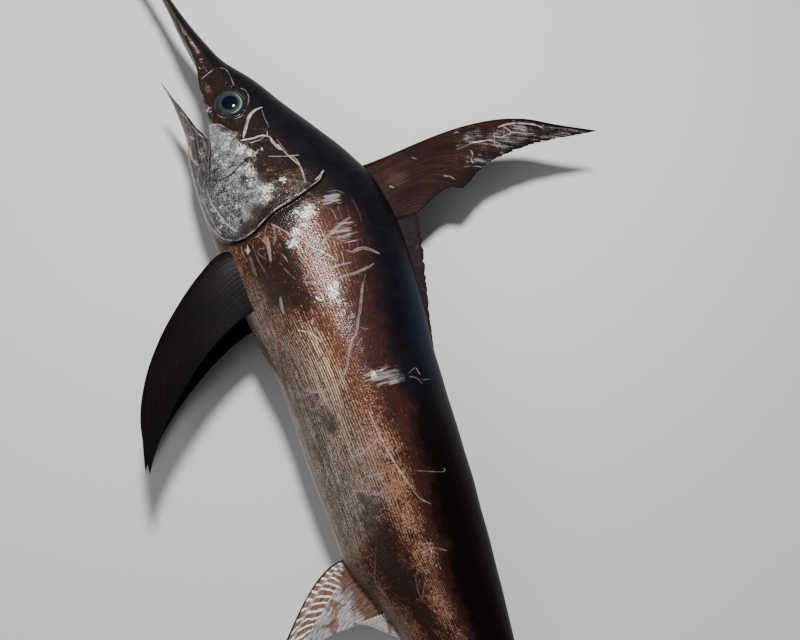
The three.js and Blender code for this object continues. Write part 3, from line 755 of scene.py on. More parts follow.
def skin_rings():
    """The places along the fish of the skin's rings."""
    runs = [np.arange(start, end - spacing / 2, spacing) for start, end, spacing in SKIN_RINGS]
    return np.concatenate([*runs, [TAIL_BONE_END]])


def skin_angles():
    """The angles of the skin's columns, closest together along the middle of the left flank."""
    share = np.linspace(-1, 1, LEFT_COLUMNS + 1)
    left = 90 + 90 * share * (0.62 + 0.38 * share ** 2)
    right = np.linspace(180, 360, RIGHT_COLUMNS + 1)
    return np.radians(np.concatenate([left, right[1:]]))


def eye_frame(side):
    """The middle of an eye on the skin and the direction that it looks in."""
    x, y = (np.array([float(value)]) for value in EYE_PLACE)
    angle = flank_angle(x, y)
    angle = angle if side > 0 else 2 * math.pi - angle
    axis = normal_at(x, angle)[0] + (EYE_TURN, 0, 0)
    return round_point(BODY, x, angle)[0], axis / np.linalg.norm(axis)


def from_eye(points, side):
    """Distance from an eye's axis, and height over the skin at its middle."""
    middle, axis = eye_frame(side)
    offset = points - middle
    height = offset @ axis
    return np.linalg.norm(offset - height[:, None] * axis, axis=1), height


def head_relief(x, y):
    """How far the head's skin stands out, in millimetres: gill cover, folds, lips and throat ridges."""
    aside, along, past, _ = beside(x, y, GILL_REAR)
    cover = np.where(past > 0, 1.0, 1 - blend(-0.6, GILL_EDGE, aside))
    inside = np.clip((x - GILL_LIFT_FROM) / (GILL_LIFT_TO - GILL_LIFT_FROM), 0, 1)
    relief = GILL_LIFT * inside * cover * (1 - blend(*GILL_LIFT_TOP, y)) * blend(*GILL_LIFT_FOOT, y)
    gap = bump_at(aside - GILL_EDGE, 6) * blend(0, 0.12, along) * blend(1, 0.9, along)
    lip = bump_at(aside + 2.5, 2.6) * blend(0.05, 0.3, along)
    relief += np.where(past < 1, 0.8 * lip - 1.4 * gap, 0)
    for fold, depth, width, reach, swelling, swelling_width, swelling_reach, offset in HEAD_FOLDS:
        crease, _, beyond, _ = beside(x, y, fold)
        relief -= depth * bump_at(crease, width) * bump_at(beyond, reach)
        relief += swelling * bump_at(crease - offset, swelling_width) * bump_at(beyond, swelling_reach)
    edge = np.minimum(np.where(past > 0, 99, np.abs(aside)), np.abs(y - BODY["belly"](x)) * 1.15)
    throat = blend(*THROAT_FRONT, x) * (1 - blend(*THROAT_TOP, y)) * (aside < 0) * (x < THROAT_END)
    for ridge in THROAT_RIDGES:
        relief += THROAT_RIDGE_HEIGHT * throat * bump_at(edge - ridge, THROAT_RIDGE_WIDTH)
    return relief


def round_eye(points, side):
    """Draws the skin's points near an eye down into its socket or up into the ring round it."""
    middle, axis = eye_frame(side)
    radius, height = from_eye(points, side)
    foot = middle + height[:, None] * axis
    snap = np.abs(radius - ORBIT_INNER) < ORBIT_SNAP
    scale = np.where(snap, ORBIT_INNER / np.maximum(radius, 1), 1)
    radius = np.where(snap, ORBIT_INNER, radius)
    across = np.clip((radius - ORBIT_RADIUS) / ORBIT_TUBE, -1, 1)
    ring = height + ORBIT_RISE * (1 - across ** 2) ** 1.5
    inner = -SOCKET_DEPTH * blend(ORBIT_INNER + 0.1, ORBIT_INNER - 3.0, radius)
    wanted = np.where(radius < ORBIT_INNER - 0.05, inner, ring)
    return foot + (points - foot) * scale[:, None] + (wanted - height)[:, None] * axis


def skin_tube():
    """The skin from the snout to the tail as one closed tube, with its folds, eye sockets and nostrils."""
    rings = skin_rings()
    angles = skin_angles()

    def place(u, v):
        x = rings[np.rint(u * (len(rings) - 1)).astype(int)]
        angle = angles[np.rint(v * (len(angles) - 1)).astype(int)]
        points = round_point(BODY, x, angle)
        normal = normal_at(x, angle)
        half_turn = np.where(angle > math.pi, 2 * math.pi - angle, angle)
        head = x < HEAD_END
        relief = np.zeros(len(x))
        relief[head] = head_relief(x[head], points[head, 1])
        ripple = np.sin(x / 23 + 2.2 * half_turn) * np.sin(x / 41 - 3.1 * half_turn)
        relief += RIPPLE_HEIGHT * ripple * blend(*RIPPLE_FRONT, x) * (1 - blend(*RIPPLE_REAR, x))
        points += relief[:, None] * normal
        y = points[:, 1].copy()
        for side in (1, -1):
            near = (from_eye(points, side)[0] < ORBIT_REACH) & ((angle < math.pi) == (side > 0))
            points[near] = round_eye(points[near], side)
        for nostril in NOSTRILS:
            distance = np.hypot(x - nostril[0], y - nostril[1])
            points -= (NOSTRIL_DEPTH * bump_at(distance, NOSTRIL_SIZE))[:, None] * normal
        points[:, 2] = np.maximum(points[:, 2], 0)
        return to_part(points)

    return wound_tube(len(rings) - 1, len(angles) - 1, place)


def mouth_wedge():
    """The wedge between the jaws, hollowed into both of them, to be cut from the skin."""
    upper = spline(UPPER_JAW, np.linspace(0, 1, 60))
    lower = spline(LOWER_JAW, np.linspace(1, 0, 50))
    front = np.array([(-12, -172), (-16, -200), (-40, -230), (-70, -230), (-70, -160)], float)
    outline = np.concatenate([upper, lower, front, upper[:1]])
    roof = np.concatenate([np.ones(len(upper)), -np.ones(len(lower)), np.zeros(len(front) + 1)])
    levels = REST_HEIGHT + np.concatenate([[-120], np.linspace(-80, 80, 33), [120]])

    def place(u, v):
        x, y = outline[np.rint(v * (len(outline) - 1)).astype(int)].T
        side = roof[np.rint(v * (len(outline) - 1)).astype(int)]
        z = levels[np.rint(u * (len(levels) - 1)).astype(int)]
        wide = MOUTH_WIDTH * BODY["half"](x)
        hollow = np.maximum(0, 1 - ((z - REST_HEIGHT) / wide) ** 2) ** 0.7
        bone = np.where(side > 0, ROOF_SHARE * (BODY["back"](x) - y), FLOOR_SHARE * (y - BODY["belly"](x)))
        y = y + side * hollow * np.clip(bone, 0, MOUTH_HOLLOW) * (1 - blend(*MOUTH_CORNER, x))
        x = x + hollow * MOUTH_BACK * blend(*MOUTH_BACK_CORNER, x)
        return to_part(np.stack([x, y, z], 1))

    return wound_tube(len(levels) - 1, len(outline) - 1, place)


def cut_away(piece, cutter):
    """Cuts one closed mesh out of another and removes the cutter."""
    cut = piece.modifiers.new("cut", "BOOLEAN")
    cut.operation = "DIFFERENCE"
    cut.solver = "EXACT"
    cut.object = cutter
    shaped = bpy.data.meshes.new_from_object(piece.evaluated_get(bpy.context.evaluated_depsgraph_get()))
    piece.modifiers.clear()
    old = piece.data
    piece.data = shaped
    shaped.name = piece.name
    for spare in (old, cutter.data):
        bpy.data.meshes.remove(spare)


def line_layer(x, y, lines):
    """For one layer of lines: signed distance, half width left over, and strength."""
    best = np.full(len(x), -1e9)
    aside, room, strength = np.full(len(x), 99.0), np.full(len(x), -99.0), np.zeros(len(x))
    for half_width, pale, points in lines:
        low, high = np.min(points, 0) - LINE_SEARCH, np.max(points, 0) + LINE_SEARCH
        box = np.nonzero((x > low[0]) & (x < high[0]) & (y > low[1]) & (y < high[1]))[0]
        off, along, past, length = beside(x[box], y[box], points)
        taper = np.minimum(1, np.minimum(along, 1 - along) * length / (5 * half_width)) ** 0.6
        wide = half_width * (0.35 + 0.65 * taper) - 2 * past - 3 * np.maximum(0, np.abs(off) - LINE_FADE)
        win = wide - np.abs(off) > best[box]
        chosen = box[win]
        best[chosen] = (wide - np.abs(off))[win]
        aside[chosen] = off[win]
        room[chosen] = wide[win]
        strength[chosen] = pale
    return aside, room, strength


def patch_share(x, y, patches):
    """How strongly soft patches cover places."""
    share = np.zeros(len(x))
    for px, py, reach_x, reach_y, strength in patches:
        far = ((x - px) / reach_x) ** 2 + ((y - py) / reach_y) ** 2
        share = np.maximum(share, strength * np.exp(-far))
    return share


def wound_patches(patches):
    """Patches with the second place turned into one round the girth."""
    middles = np.array([patch[:2] for patch in patches], float)
    around = flank_angle(*middles.T) * GIRTH_UNITS
    return [(patch[0], middle, *patch[2:]) for patch, middle in zip(patches, around)]


def paint_skin_values(mesh):
    """Keeps on the skin what its material needs: places along and round it, tones, edges and rubbed lines."""
    points = mesh_points(mesh)
    x, y, z = points.T
    left = z > mid_level(x)
    around = flank_angle(x, y) * GIRTH_UNITS
    depth = np.where(x < 200, flank_half(x, y) - np.abs(z - mid_level(x)), 0)
    gill_side, _, gill_past, _ = beside(x, y, GILL_REAR)
    on_cover = ((gill_side <= 0.3) | (gill_past > 0)) & (x < 388)
    dark_edge, silver_head, silver_body = (np.radians(curve_through(edge)(x)) * GIRTH_UNITS
                                           for edge in (DARK_BACK, SILVER_HEAD, SILVER_BODY))
    silver = around - np.where(on_cover, silver_head, silver_body)
    spots = [patch_share(x, around, wound_patches(patches)) * np.where(left, 1, 0.35) for patches in
             (WARM_PATCHES, DARK_PATCHES, LINED_PATCHES, PALE_SKIN_AND_GLINT_PATCHES, PINK_PATCHES, VEIL_PATCHES)]
    jaw_height = y - np.interp(x, *np.array(LOWER_JAW + MOUTH_CREASE[1:], float).T)
    jaw = blend(3, -2, jaw_height) * (1 - blend(236, 262, x))
    eye_radius = np.where(left, from_eye(points, 1)[0], from_eye(points, -1)[0])
    nostril = np.min([np.hypot(x - a, y - b) for a, b in NOSTRILS], 0)
    paint_values(mesh, "girth", x * MM, around * MM, np.where(left, 0.5, -0.5))
    paint_values(mesh, "tone", dark_edge - around, silver, depth)
    paint_values(mesh, "zones", *spots[:3])
    paint_values(mesh, "spots", *spots[3:])
    paint_values(mesh, "gill", gill_side, gill_past, jaw)
    paint_values(mesh, "marks", np.minimum(eye_radius, 99), nostril, np.minimum(99, jaw_height))
    for name, layers in (("rubbed", RUBBED_LINES), ("dark", FOLD_SHADE_AND_RED_LINES)):
        for number, lines in enumerate(layers):
            aside, room, strength = line_layer(x, y, lines)
            if name == "rubbed":
                room = np.where(left, room, -99)
            paint_values(mesh, f"{name}_{number}", aside, room, strength)


def lay_lines(p, colour, name, layers, ruffle, pale):
    """Draws layers of pale lines over a colour: rubbed lines, and on the skin one painted glint along a fold.
    Gives the colour and how far it is covered.
    """
    x, y, _ = p.split(p.place)
    worn = 0.0
    for number in range(len(layers)):
        aside, room, strength = p.attribute(f"{name}_{number}")
        strands = p.noise(p.join(aside, p.times(x, 26), p.times(y, 26)), 1.0, 3, 0.65)
        frayed = p.plus(room, p.times(p.far(aside), -1.0), p.times(ruffle, p.weigh(1.4, (room, 0.7))))
        rim = p.times(p.rise(frayed, 0.1, 0.7), p.rise(frayed, 1.6, 0.9),
                      p.rise(aside, 0.3, 0.9), p.rise(room, 1.6, 2.4))
        cream_share = p.most(p.rise(strength, 0.98, 1.04), p.times(rim, 0.5))
        cream = p.mix(strands, (0.45, 0.35, 0.29), (0.85, 0.74, 0.66))
        share = p.times(p.rise(frayed, -0.4, 1.0), p.rise(strands, 0.36, 0.56, 0.25, 1.0),
                        p.rise(ruffle, -0.16, 0.1, 0.5, 1.0), p.math("FRACT", p.plus(strength, -0.001)))
        colour = p.mix(share, colour, p.mix(cream_share, pale, cream))
        worn = p.most(worn, share)
    return colour, worn


class SkinPaint(Paint):
    """The skin's nodes, with the values, noises and shares that all its coats read."""

    def __init__(self, look):
        super().__init__("swordfish_skin")
        girth = self.attribute("girth")
        self.along, around, _ = girth
        self.dark, self.silver, self.depth = self.attribute("tone")
        self.gill, self.gill_past, self.jaw = self.attribute("gill")
        self.eye_radius, self.nostril, self.jaw_height = self.attribute("marks")
        lie = self.join(*girth)
        self.cloud = self.noise(lie, 26, 5, 0.62, 0.4)
        self.mottle = self.noise(lie, 95, 4, 0.68, 0.2)
        self.grain = self.noise(lie, 300, 3, 0.7)
        self.fine = self.noise(lie, 430, 2, 0.6)
        self.dashes = self.noise(self.stretch(lie, (150, 400, 1)), detail=2)
        self.long_dashes = self.noise(self.stretch(lie, (15, 400, 1)), rough=0.6)
        self.fibres = self.noise(self.stretch(lie, (300, 44, 1)), rough=0.6)
        wander = self.noise(self.stretch(lie, (9, 22, 1)), detail=2)
        turns = self.weigh(self.math("DIVIDE", around, look.streak_spacing), (wander, 2.2))
        self.stripes = self.math("SINE", self.times(turns, 2 * math.pi))
        self.share_out()

    def share_out(self):
        """The shares of the skin's zones and patches, with edges that the noises break up."""
        rise, plus, times, weigh, sway = self.rise, self.plus, self.times, self.weigh, self.sway
        warm, shade, self.lined = self.attribute("zones")
        white, pink, veil = self.attribute("spots")
        wobble = plus(sway(self.cloud, 52), sway(self.mottle, 26))
        scatter = plus(sway(self.cloud, 1.2), sway(self.mottle, 1.6))
        crumbs = plus(sway(self.dashes, 1.6), sway(self.grain, 1.8))
        self.head = rise(self.along, 0.395, 0.375)
        self.rear = rise(self.along, 0.68, 0.82)
        self.back = rise(plus(self.dark, wobble), -20, 12)
        dusk = times(weigh(self.dark, (wobble, 0.7)), rise(self.along, 0.66, 0.8, 1.0, 1.7))
        self.dusk = rise(dusk, -62, -6)
        pale = plus(self.silver, wobble)
        self.pale = self.mix_values(self.head, rise(pale, -44, 34), rise(pale, -8, 10))
        self.ordered = self.math("MINIMUM", self.lined, 1.0)
        self.warm = rise(plus(warm, scatter), 0.25, 0.85)
        self.shade = rise(weigh(shade, (scatter, 1.3)), 0.2, 0.9)
        # The pale patches: pale scraped skin together with painted highlights and wet glints
        white_edge = plus(white, crumbs, times(scatter, 0.5))
        self.white = times(rise(white_edge, 0.45, 1.05), rise(white, 0.05, 0.3))
        self.pink = rise(weigh(pink, (scatter, 0.6)), 0.3, 0.8)
        veil_edge = plus(veil, sway(self.fibres, 2.4), times(scatter, 0.3))
        self.veil = times(rise(veil_edge, 0.42, 0.72), rise(veil, 0.05, 0.3))


def dim(colour, share):
    """The colour at a share of its light."""
    return tuple(part * share for part in colour)


def flank_coat(p, look):
    """Dark flank skin under fine light flecks, coppery in places, with bright specks that are partly painted
    wet glints. Gives its colour and the flecks' share.
    """
    cover = p.plus(
        p.weigh(0.24, (p.ordered, 0.16), (p.shade, -0.32), (p.dusk, -0.28), (p.rear, 0.04)),
        p.times(p.warm, p.weigh(-0.08, (p.rear, 0.26))),
        p.times(p.sway(p.cloud, 0.34), p.plus(1.0, p.rear)),
    )
    streaks = p.mix_values(p.weigh(0.25, (p.ordered, 0.6)), p.dashes, p.long_dashes)
    speckle = p.plus(
        p.times(streaks, p.weigh(0.36, (p.ordered, 0.19))),
        p.times(p.grain, p.weigh(0.36, (p.ordered, -0.1))),
        p.times(p.fine, p.weigh(0.28, (p.ordered, -0.09))),
        p.times(p.stripes, 0.07, p.weigh(0.5, (p.ordered, 0.5), (p.head, -0.45))),
    )
    body_lit = p.rise(p.weigh(speckle, (p.most(cover, 0.02), 0.32)), 0.565, 0.71)
    head_lit = p.rise(p.weigh(speckle, (p.mottle, 0.4), (p.warm, 0.06)), 0.69, 1.0)
    lit = p.mix_values(p.times(p.head, 0.7), body_lit, head_lit)
    # Pale specks in the copper places; towards the front they paint wet glints and highlight
    sparks = p.rise(p.weigh(0.0, (p.grain, 0.5), (p.fine, 0.5), (p.warm, 0.04)), 0.62, 0.7)
    coppery = p.mix(p.times(p.rear, 0.75), look.warm, (0.05, 0.0155, 0.01))
    under = p.coats(
        p.mix(p.rise(p.cloud, 0.36, 0.64), dim(look.flank, 0.4), look.flank),
        lined=(p.times(p.lined, 0.8), (0.058, 0.029, 0.019)),
        head=(p.head, (0.0155, 0.009, 0.0065)),
        warm=(p.warm, p.mix(p.head, coppery, (0.05, 0.028, 0.017))),
        shade=(p.times(p.shade, 0.88), (0.018, 0.0095, 0.007)),
        dusk=(p.times(p.dusk, 0.85), p.mix(p.head, (0.034, 0.013, 0.0115), (0.017, 0.0098, 0.008))),
    )
    over = p.coats(
        p.mix(p.rise(p.mottle, 0.35, 0.65), dim(look.bronze, 0.6), look.bronze),
        lined=(p.ordered, (0.62, 0.42, 0.275)),
        warm=(p.warm, p.mix(p.rear, (0.34, 0.14, 0.07), (0.36, 0.19, 0.125))),
        shade=(p.times(p.shade, 0.6), (0.13, 0.09, 0.07)),
        head=(p.head, p.mix(p.warm, (0.13, 0.074, 0.045), (0.3, 0.21, 0.135))),
        dusk=(p.times(p.dusk, 0.65), p.mix(p.head, (0.17, 0.07, 0.045), (0.12, 0.066, 0.042))),
        sparks=(p.times(sparks, p.weigh(0.25, (p.warm, 0.6), (p.ordered, -0.24))), (0.82, 0.63, 0.48)),
    )
    return p.mix(lit, under, over), lit


def cheek_coat(p, look):
    """The mottled silver cheek, with bright glints and a darker lower edge."""
    speck = p.weigh(0.0, (p.mottle, 0.35), (p.grain, 0.35), (p.fine, 0.3))
    return p.coats(
        p.mix(p.rise(p.plus(speck, p.sway(p.cloud, 0.3)), 0.43, 0.56), dim(look.silver, 0.07), look.silver),
        stains=(p.rise(p.plus(p.cloud, p.sway(p.mottle, 0.5)), 0.4, 0.6, 0.0, 0.85), (0.042, 0.04, 0.042)),
        upper=(p.times(p.rise(p.silver, 60, 15), p.rise(p.mottle, 0.35, 0.55), 0.4), (0.42, 0.42, 0.425)),
        lined=(p.times(p.lined, 0.5), (0.24, 0.235, 0.235)),
        glints=(p.rise(p.plus(speck, p.sway(p.mottle, 0.25)), 0.56, 0.63, 0.0, 0.95), (0.88, 0.89, 0.9)),
        lower_edge=(p.times(p.rise(p.silver, 92, 112), 0.7), (0.05, 0.044, 0.042)),
        shade=(p.times(p.shade, 0.9), (0.02, 0.01, 0.006)),
        upper_edge=(p.times(p.rise(p.silver, 20, -6), p.head, 0.5), (0.07, 0.05, 0.04)),
    )


def belly_coat(p):
    """The belly's pale threads over brown."""
    threads = p.weigh(0.0, (p.dashes, 0.25), (p.long_dashes, 0.3), (p.fine, 0.45), (p.stripes, 0.03))
    return p.coats(
        p.mix(p.rise(threads, 0.42, 0.6), (0.052, 0.035, 0.026), (0.35, 0.275, 0.22)),
        clouds=(p.times(p.rise(p.cloud, 0.4, 0.64), 0.4), (0.07, 0.05, 0.04)),
        shade=(p.times(p.shade, 0.7), (0.03, 0.02, 0.013)),
    )


def gum_coat(p):
    """The lower jaw: grey streaks and rubbed spots, black at its tip."""
    return p.coats(
        p.mix(p.rise(p.long_dashes, 0.42, 0.62), (0.018, 0.015, 0.015), (0.12, 0.105, 0.102)),
        rubbed=(p.rise(p.plus(p.mottle, p.sway(p.grain, 0.6)), 0.5, 0.66, 0.0, 0.7), (0.27, 0.245, 0.24)),
        tip=(p.rise(p.along, 0.07, 0.02, 0.0, 0.8), (0.012, 0.011, 0.012)),
    )


def back_coat(p, look):
    """The blue-black back, with a painted sheen of reflected blue sky over the middle of the body, and brown
    towards the tail.
    """
    # Painted sheen of reflected blue sky along the upper back, over the middle of the body
    bluest = p.times(p.rise(p.dark, 18, 44), p.rise(p.along, 0.46, 0.56), p.rise(p.along, 0.74, 0.62))
    return p.coats(
        p.mix(p.rise(p.cloud, 0.4, 0.62), look.back, (0.006, 0.0055, 0.009)),
        rear=(p.rise(p.along, 0.66, 0.84), (0.004, 0.0018, 0.0016)),
        bluest=(bluest, (0.004, 0.0068, 0.0175)),
    )


def gill_coats(p, colour):
    """The gill cover's edge: a pale rim, painted shadow in the gap behind it and a brown band before it."""
    edge = p.weigh(p.gill, (p.sway(p.mottle, 5.0), 0.4))
    held = p.rise(p.gill_past, 2, 0)
    # The gap: painted shadow under the gill cover's free edge
    gap = p.times(p.rise(edge, -0.3, 0.8), p.rise(edge, 7, 2), held)
    band = p.times(p.rise(edge, -14, -4), p.rise(p.gill, 1, 0), held, p.rise(p.silver, -10, 20), 0.75)
    rim = p.times(p.rise(edge, -2.9, -1.9), p.rise(edge, -0.2, -0.9), held,
                  p.rise(p.mottle, 0.4, 0.6, 0.15, 0.85))
    return p.coats(
        colour,
        # painted shadow in the gap, near black
        gap=(gap, (0.006, 0.004, 0.004)),
        band=(band, (0.022, 0.014, 0.011)),
        rim=(rim, (0.44, 0.4, 0.38)),
    )


def fold_shade_and_red_line_coats(p, colour):
    """Painted shade in the folds and creases, and the red lines."""
    red = p.mix(p.rise(p.grain, 0.42, 0.58), (0.07, 0.014, 0.012), (0.24, 0.1, 0.085))
    # Near-black lines are painted shade in folds and creases; red ones are the skin's own lines
    for number in range(len(FOLD_SHADE_AND_RED_LINES)):
        aside, room, strength = p.attribute(f"dark_{number}")
        left = p.weigh(room, (p.far(p.weigh(aside, (p.sway(p.mottle, 5.0), 0.5))), -1.0))
        share = p.times(p.rise(left, -0.5, 1.2), p.math("MINIMUM", strength, 0.85),
                        p.rise(p.cloud, 0.3, 0.55, 0.4, 1.0))
        colour = p.mix(share, colour, p.mix(p.rise(strength, 1.0, 1.2), (0.014, 0.01, 0.009), red))
    return colour


def face_coats(p, colour):
    """The dark lip, the eye's dark rim, and painted shade in the eye's socket and in the nostrils."""
    lip = p.times(p.rise(p.jaw_height, -9.0, -6.5), p.rise(p.jaw_height, -2.0, -4.0), p.jaw,
                  p.rise(p.along, 0.18, 0.15, 0.3, 1.0))
    orbit = p.times(p.rise(p.eye_radius, 24.0, 26.0), p.rise(p.eye_radius, 35.0, 31.5))
    return p.coats(
        colour,
        lip=(p.times(lip, 0.85), (0.01, 0.009, 0.01)),
        orbit=(p.times(orbit, 0.9), (0.012, 0.011, 0.011)),
        # Painted shade in the eye's socket and in the nostril pits, near black
        socket=(p.rise(p.eye_radius, 26.9, 26.2), (0.004, 0.004, 0.005)),
        nostril=(p.rise(p.nostril, 3.0, 1.4), (0.004, 0.003, 0.003)),
    )


def skin_surface(p, look, lit, worn):
    """The skin's bumps, its wet film, and the slight shine of its flecks and silver."""
    calm = p.rise(p.dark, -60, 0, 1.0, 0.25)
    height = p.plus(p.times(p.stripes, 0.16, p.plus(0.3, p.lined)), p.sway(p.grain, 0.55), p.times(worn, 0.4))
    fine = p.raise_by(p.times(height, calm), 0.0008)
    folds = p.times(p.plus(p.sway(p.cloud, 1.0), p.sway(p.mottle, 0.3)), calm)
    film = p.times(p.plus(p.sway(p.mottle, 1.0), p.sway(p.grain, 0.4)), calm)
    shine = p.most(p.times(p.pale, 0.25), p.times(lit, 0.24))
    dull = p.most(p.times(worn, 0.55), p.times(p.back, 0.5))
    p.set(
        Normal=p.raise_by(folds, 0.002, fine),
        Coat_Normal=p.raise_by(film, 0.001),
        Metallic=p.times(shine, p.math("SUBTRACT", 1.0, p.most(worn, p.back))),
        Roughness=p.most(p.rise(p.grain, 0.3, 0.75, 0.26, 0.46), dull),
        Coat_Weight=p.rise(p.back, 0, 1, look.wetness, 0.2 * look.wetness),
        Specular_IOR_Level=0.06,
        Coat_Roughness=0.1,
        Coat_IOR=1.38,
    )


def skin_material(look):
    """Wet scaleless hide: dark back, flecked bronze flank, silver cheek and belly."""
    p = SkinPaint(look)
    flank, lit = flank_coat(p, look)
    veil = p.mix(p.rise(p.fibres, 0.4, 0.62), (0.1, 0.075, 0.075), (0.34, 0.29, 0.28))
    white = p.mix(p.rise(p.grain, 0.4, 0.56), (0.5, 0.43, 0.37), (0.9, 0.87, 0.83))
    colour = p.coats(
        p.mix(p.pale, flank, p.mix(p.head, belly_coat(p), cheek_coat(p, look))),
        snout=(p.rise(p.along, 0.045, -0.015, 0.0, 0.8), (0.026, 0.016, 0.013)),
        jaw=(p.jaw, gum_coat(p)),
        veil=(p.times(p.veil, 0.85), veil),
        # pale scraped skin, and painted highlights and wet glints
        white=(p.times(p.white, 0.88), white),
        pink=(p.times(p.pink, 0.7), (0.33, 0.13, 0.12)),
        back=(p.back, back_coat(p, look)),
    )
    colour = face_coats(p, fold_shade_and_red_line_coats(p, gill_coats(p, colour)))
    colour, worn = lay_lines(p, colour, "rubbed", RUBBED_LINES, p.sway(p.mottle, 1.0), look.rubbed)
    mouth = p.times(p.rise(p.depth, 2.5, 7.0), p.rise(p.eye_radius, 32, 42))
    p.set(Base_Color=p.mix(mouth, colour, (0.07, 0.024, 0.022)))
    skin_surface(p, look, lit, worn)
    return p.material


class SwordfishSkin(bpy.types.Operator):
    """Makes the skin of the head, lower jaw, gill covers, body and tail stalk as one piece"""

    bl_idname = "swordfish.skin"
    bl_label = "Skin"

    def execute(self, context):
        skin = to_object("skin", skin_tube(), None)
        wedge = to_object("wedge", mouth_wedge(), None)
        cut_away(skin, wedge)
        mesh = skin.data
        mesh.set_sharp_from_angle(angle=math.radians(62))
        paint_skin_values(mesh)
        mesh.materials.clear()
        mesh.materials.append(skin_material(context.scene.swordfish_skin))
        stand_for(skin, "skin", "head", "lower_jaw", "gill_cover_left", "gill_cover_right",
                  "torso_front", "torso_middle", "torso_rear", "tail_stalk")
        return {"FINISHED"}


def bill_material(look):
    """Smooth dark bone, brown above and paler below, with a painted highlight streak along its side ridge
    that breaks into mottled pale highlight spots near the snout.
    """
    p = Paint("swordfish_bill")
    grain = p.noise(p.stretch(p.place, (12, 260, 260)), 1.0, 4, 0.6)
    patches = p.noise(p.place, 46, 5, 0.65)
    fine = p.noise(p.place, 420, 3, 0.6)
    along, up, _ = p.attribute("bill")
    up = p.plus(up, p.sway(grain, 0.5))
    # The side ridge carries a painted highlight streak; bare marks mottled spots of painted highlight on it
    # near the snout
    ridge = p.times(p.rise(up, -0.5, -0.36), p.rise(up, -0.06, -0.22))
    bare = p.rise(p.weigh(0.0, (patches, 0.35), (fine, 0.65)), 0.48, 0.6)
    colour = p.coats(
        p.mix(p.rise(grain, 0.4, 0.68), (0.013, 0.009, 0.008), (0.07, 0.042, 0.031)),
        top=(p.rise(up, -0.12, 0.1), (0.0065, 0.0045, 0.0045)),
        # painted highlight streak along the ridge
        ridge=(p.times(ridge, p.rise(grain, 0.36, 0.6, 0.2, 0.7)), (0.13, 0.09, 0.07)),
        under=(p.times(p.rise(up, -0.84, -0.95), 0.8), (0.2, 0.16, 0.15)),
        # mottled spots of painted highlight
        bare=(p.times(ridge, p.rise(along, -0.1, -0.045), bare, 0.8), (0.42, 0.38, 0.35)),
    )
    p.set(Base_Color=colour, Roughness=p.rise(fine, 0.3, 0.7, 0.34, 0.55), Specular_IOR_Level=0.1,
          Normal=p.raise_by(p.weigh(grain, (fine, 0.4)), 0.0006),
          Coat_Weight=look.wetness * 0.3, Coat_Roughness=0.2)
    return p.material


class SwordfishBill(bpy.types.Operator):
    """Makes the long flat bill"""

    bl_idname = "swordfish.bill"
    bl_label = "Bill"

    def execute(self, context):
        def place(u, v):
            x = BILL_TIP + (SNOUT_CUT + BILL_OVERLAP - BILL_TIP) * u ** 1.15
            points = round_point(BILL, x, v * 2 * math.pi)
            out = np.sin(v * 2 * math.pi)
            points[:, 2] += BILL_WAVE * np.abs(out) ** 12 * np.sign(out) * np.sin(x / BILL_WAVE_LENGTH)
            inside = blend(SNOUT_CUT, SNOUT_CUT + BILL_OVERLAP, x)
            points[:, 1] += (BILL["widest"](x) - points[:, 1]) * 0.12 * inside
            return to_part(points)

        material = bill_material(context.scene.swordfish_skin)
        bill = to_object("bill_blade", wound_tube(240, 72, place), material)
        x, y, _ = mesh_points(bill.data).T
        above = y - BILL["widest"](x)
        reach = reach_at(BILL, x, above > 0)
        paint_values(bill.data, "bill", x * MM, above / np.maximum(reach, 0.1), 0 * x)
        stand_for(bill, "bill", "bill")
        return {"FINISHED"}


def eye_material(look):
    """A dark blue pupil in a grey-green ring under a wet film; the ring is painted lighter on its lit upper
    side, with a painted highlight arc there, and painted darker in shade below.
    """
    p = Paint("swordfish_eye")
    radius, turn, light_side = p.attribute("eye")
    fibres = p.noise(p.join(p.times(radius, 0.1), turn), 4.0, 4, 0.6)
    mottle = p.noise(p.place, 260, 4, 0.6)
    edge = look.pupil_radius / MM
    # A painted highlight arc across the ring's lit upper side
    arc = p.times(p.rise(radius, 18.8, 19.8), p.rise(radius, 21.8, 20.8), p.rise(light_side, 0.1, 0.5))
    colour = p.coats(
        p.mix(p.rise(fibres, 0.35, 0.7), dim(look.ring, 0.4), look.ring),
        mottle=(p.rise(mottle, 0.5, 0.75, 0.0, 0.4), (0.1, 0.115, 0.1)),
        # The ring painted lighter on its lit upper side, and darker in painted shade below
        upper=(p.times(p.rise(light_side, 0.0, 0.9), 0.7), (0.08, 0.105, 0.098)),
        lower=(p.times(p.rise(light_side, 0.0, -0.9), 0.6), (0.017, 0.024, 0.024)),
        halo=(p.rise(radius, edge + 4.5, edge + 0.8, 0.0, 0.85), (0.01, 0.025, 0.04)),
        border=(p.rise(radius, 18.5, 23.0), (0.016, 0.02, 0.022)),
        arc=(p.times(arc, 0.7), (0.3, 0.34, 0.33)),
        pupil=(p.rise(radius, edge + 0.9, edge - 0.5), look.pupil),
    )
    p.set(Base_Color=colour, Roughness=0.5, Specular_IOR_Level=0.02)
    p.set(Coat_Weight=1.0, Coat_Roughness=0.03, Coat_IOR=1.32)
    return p.material


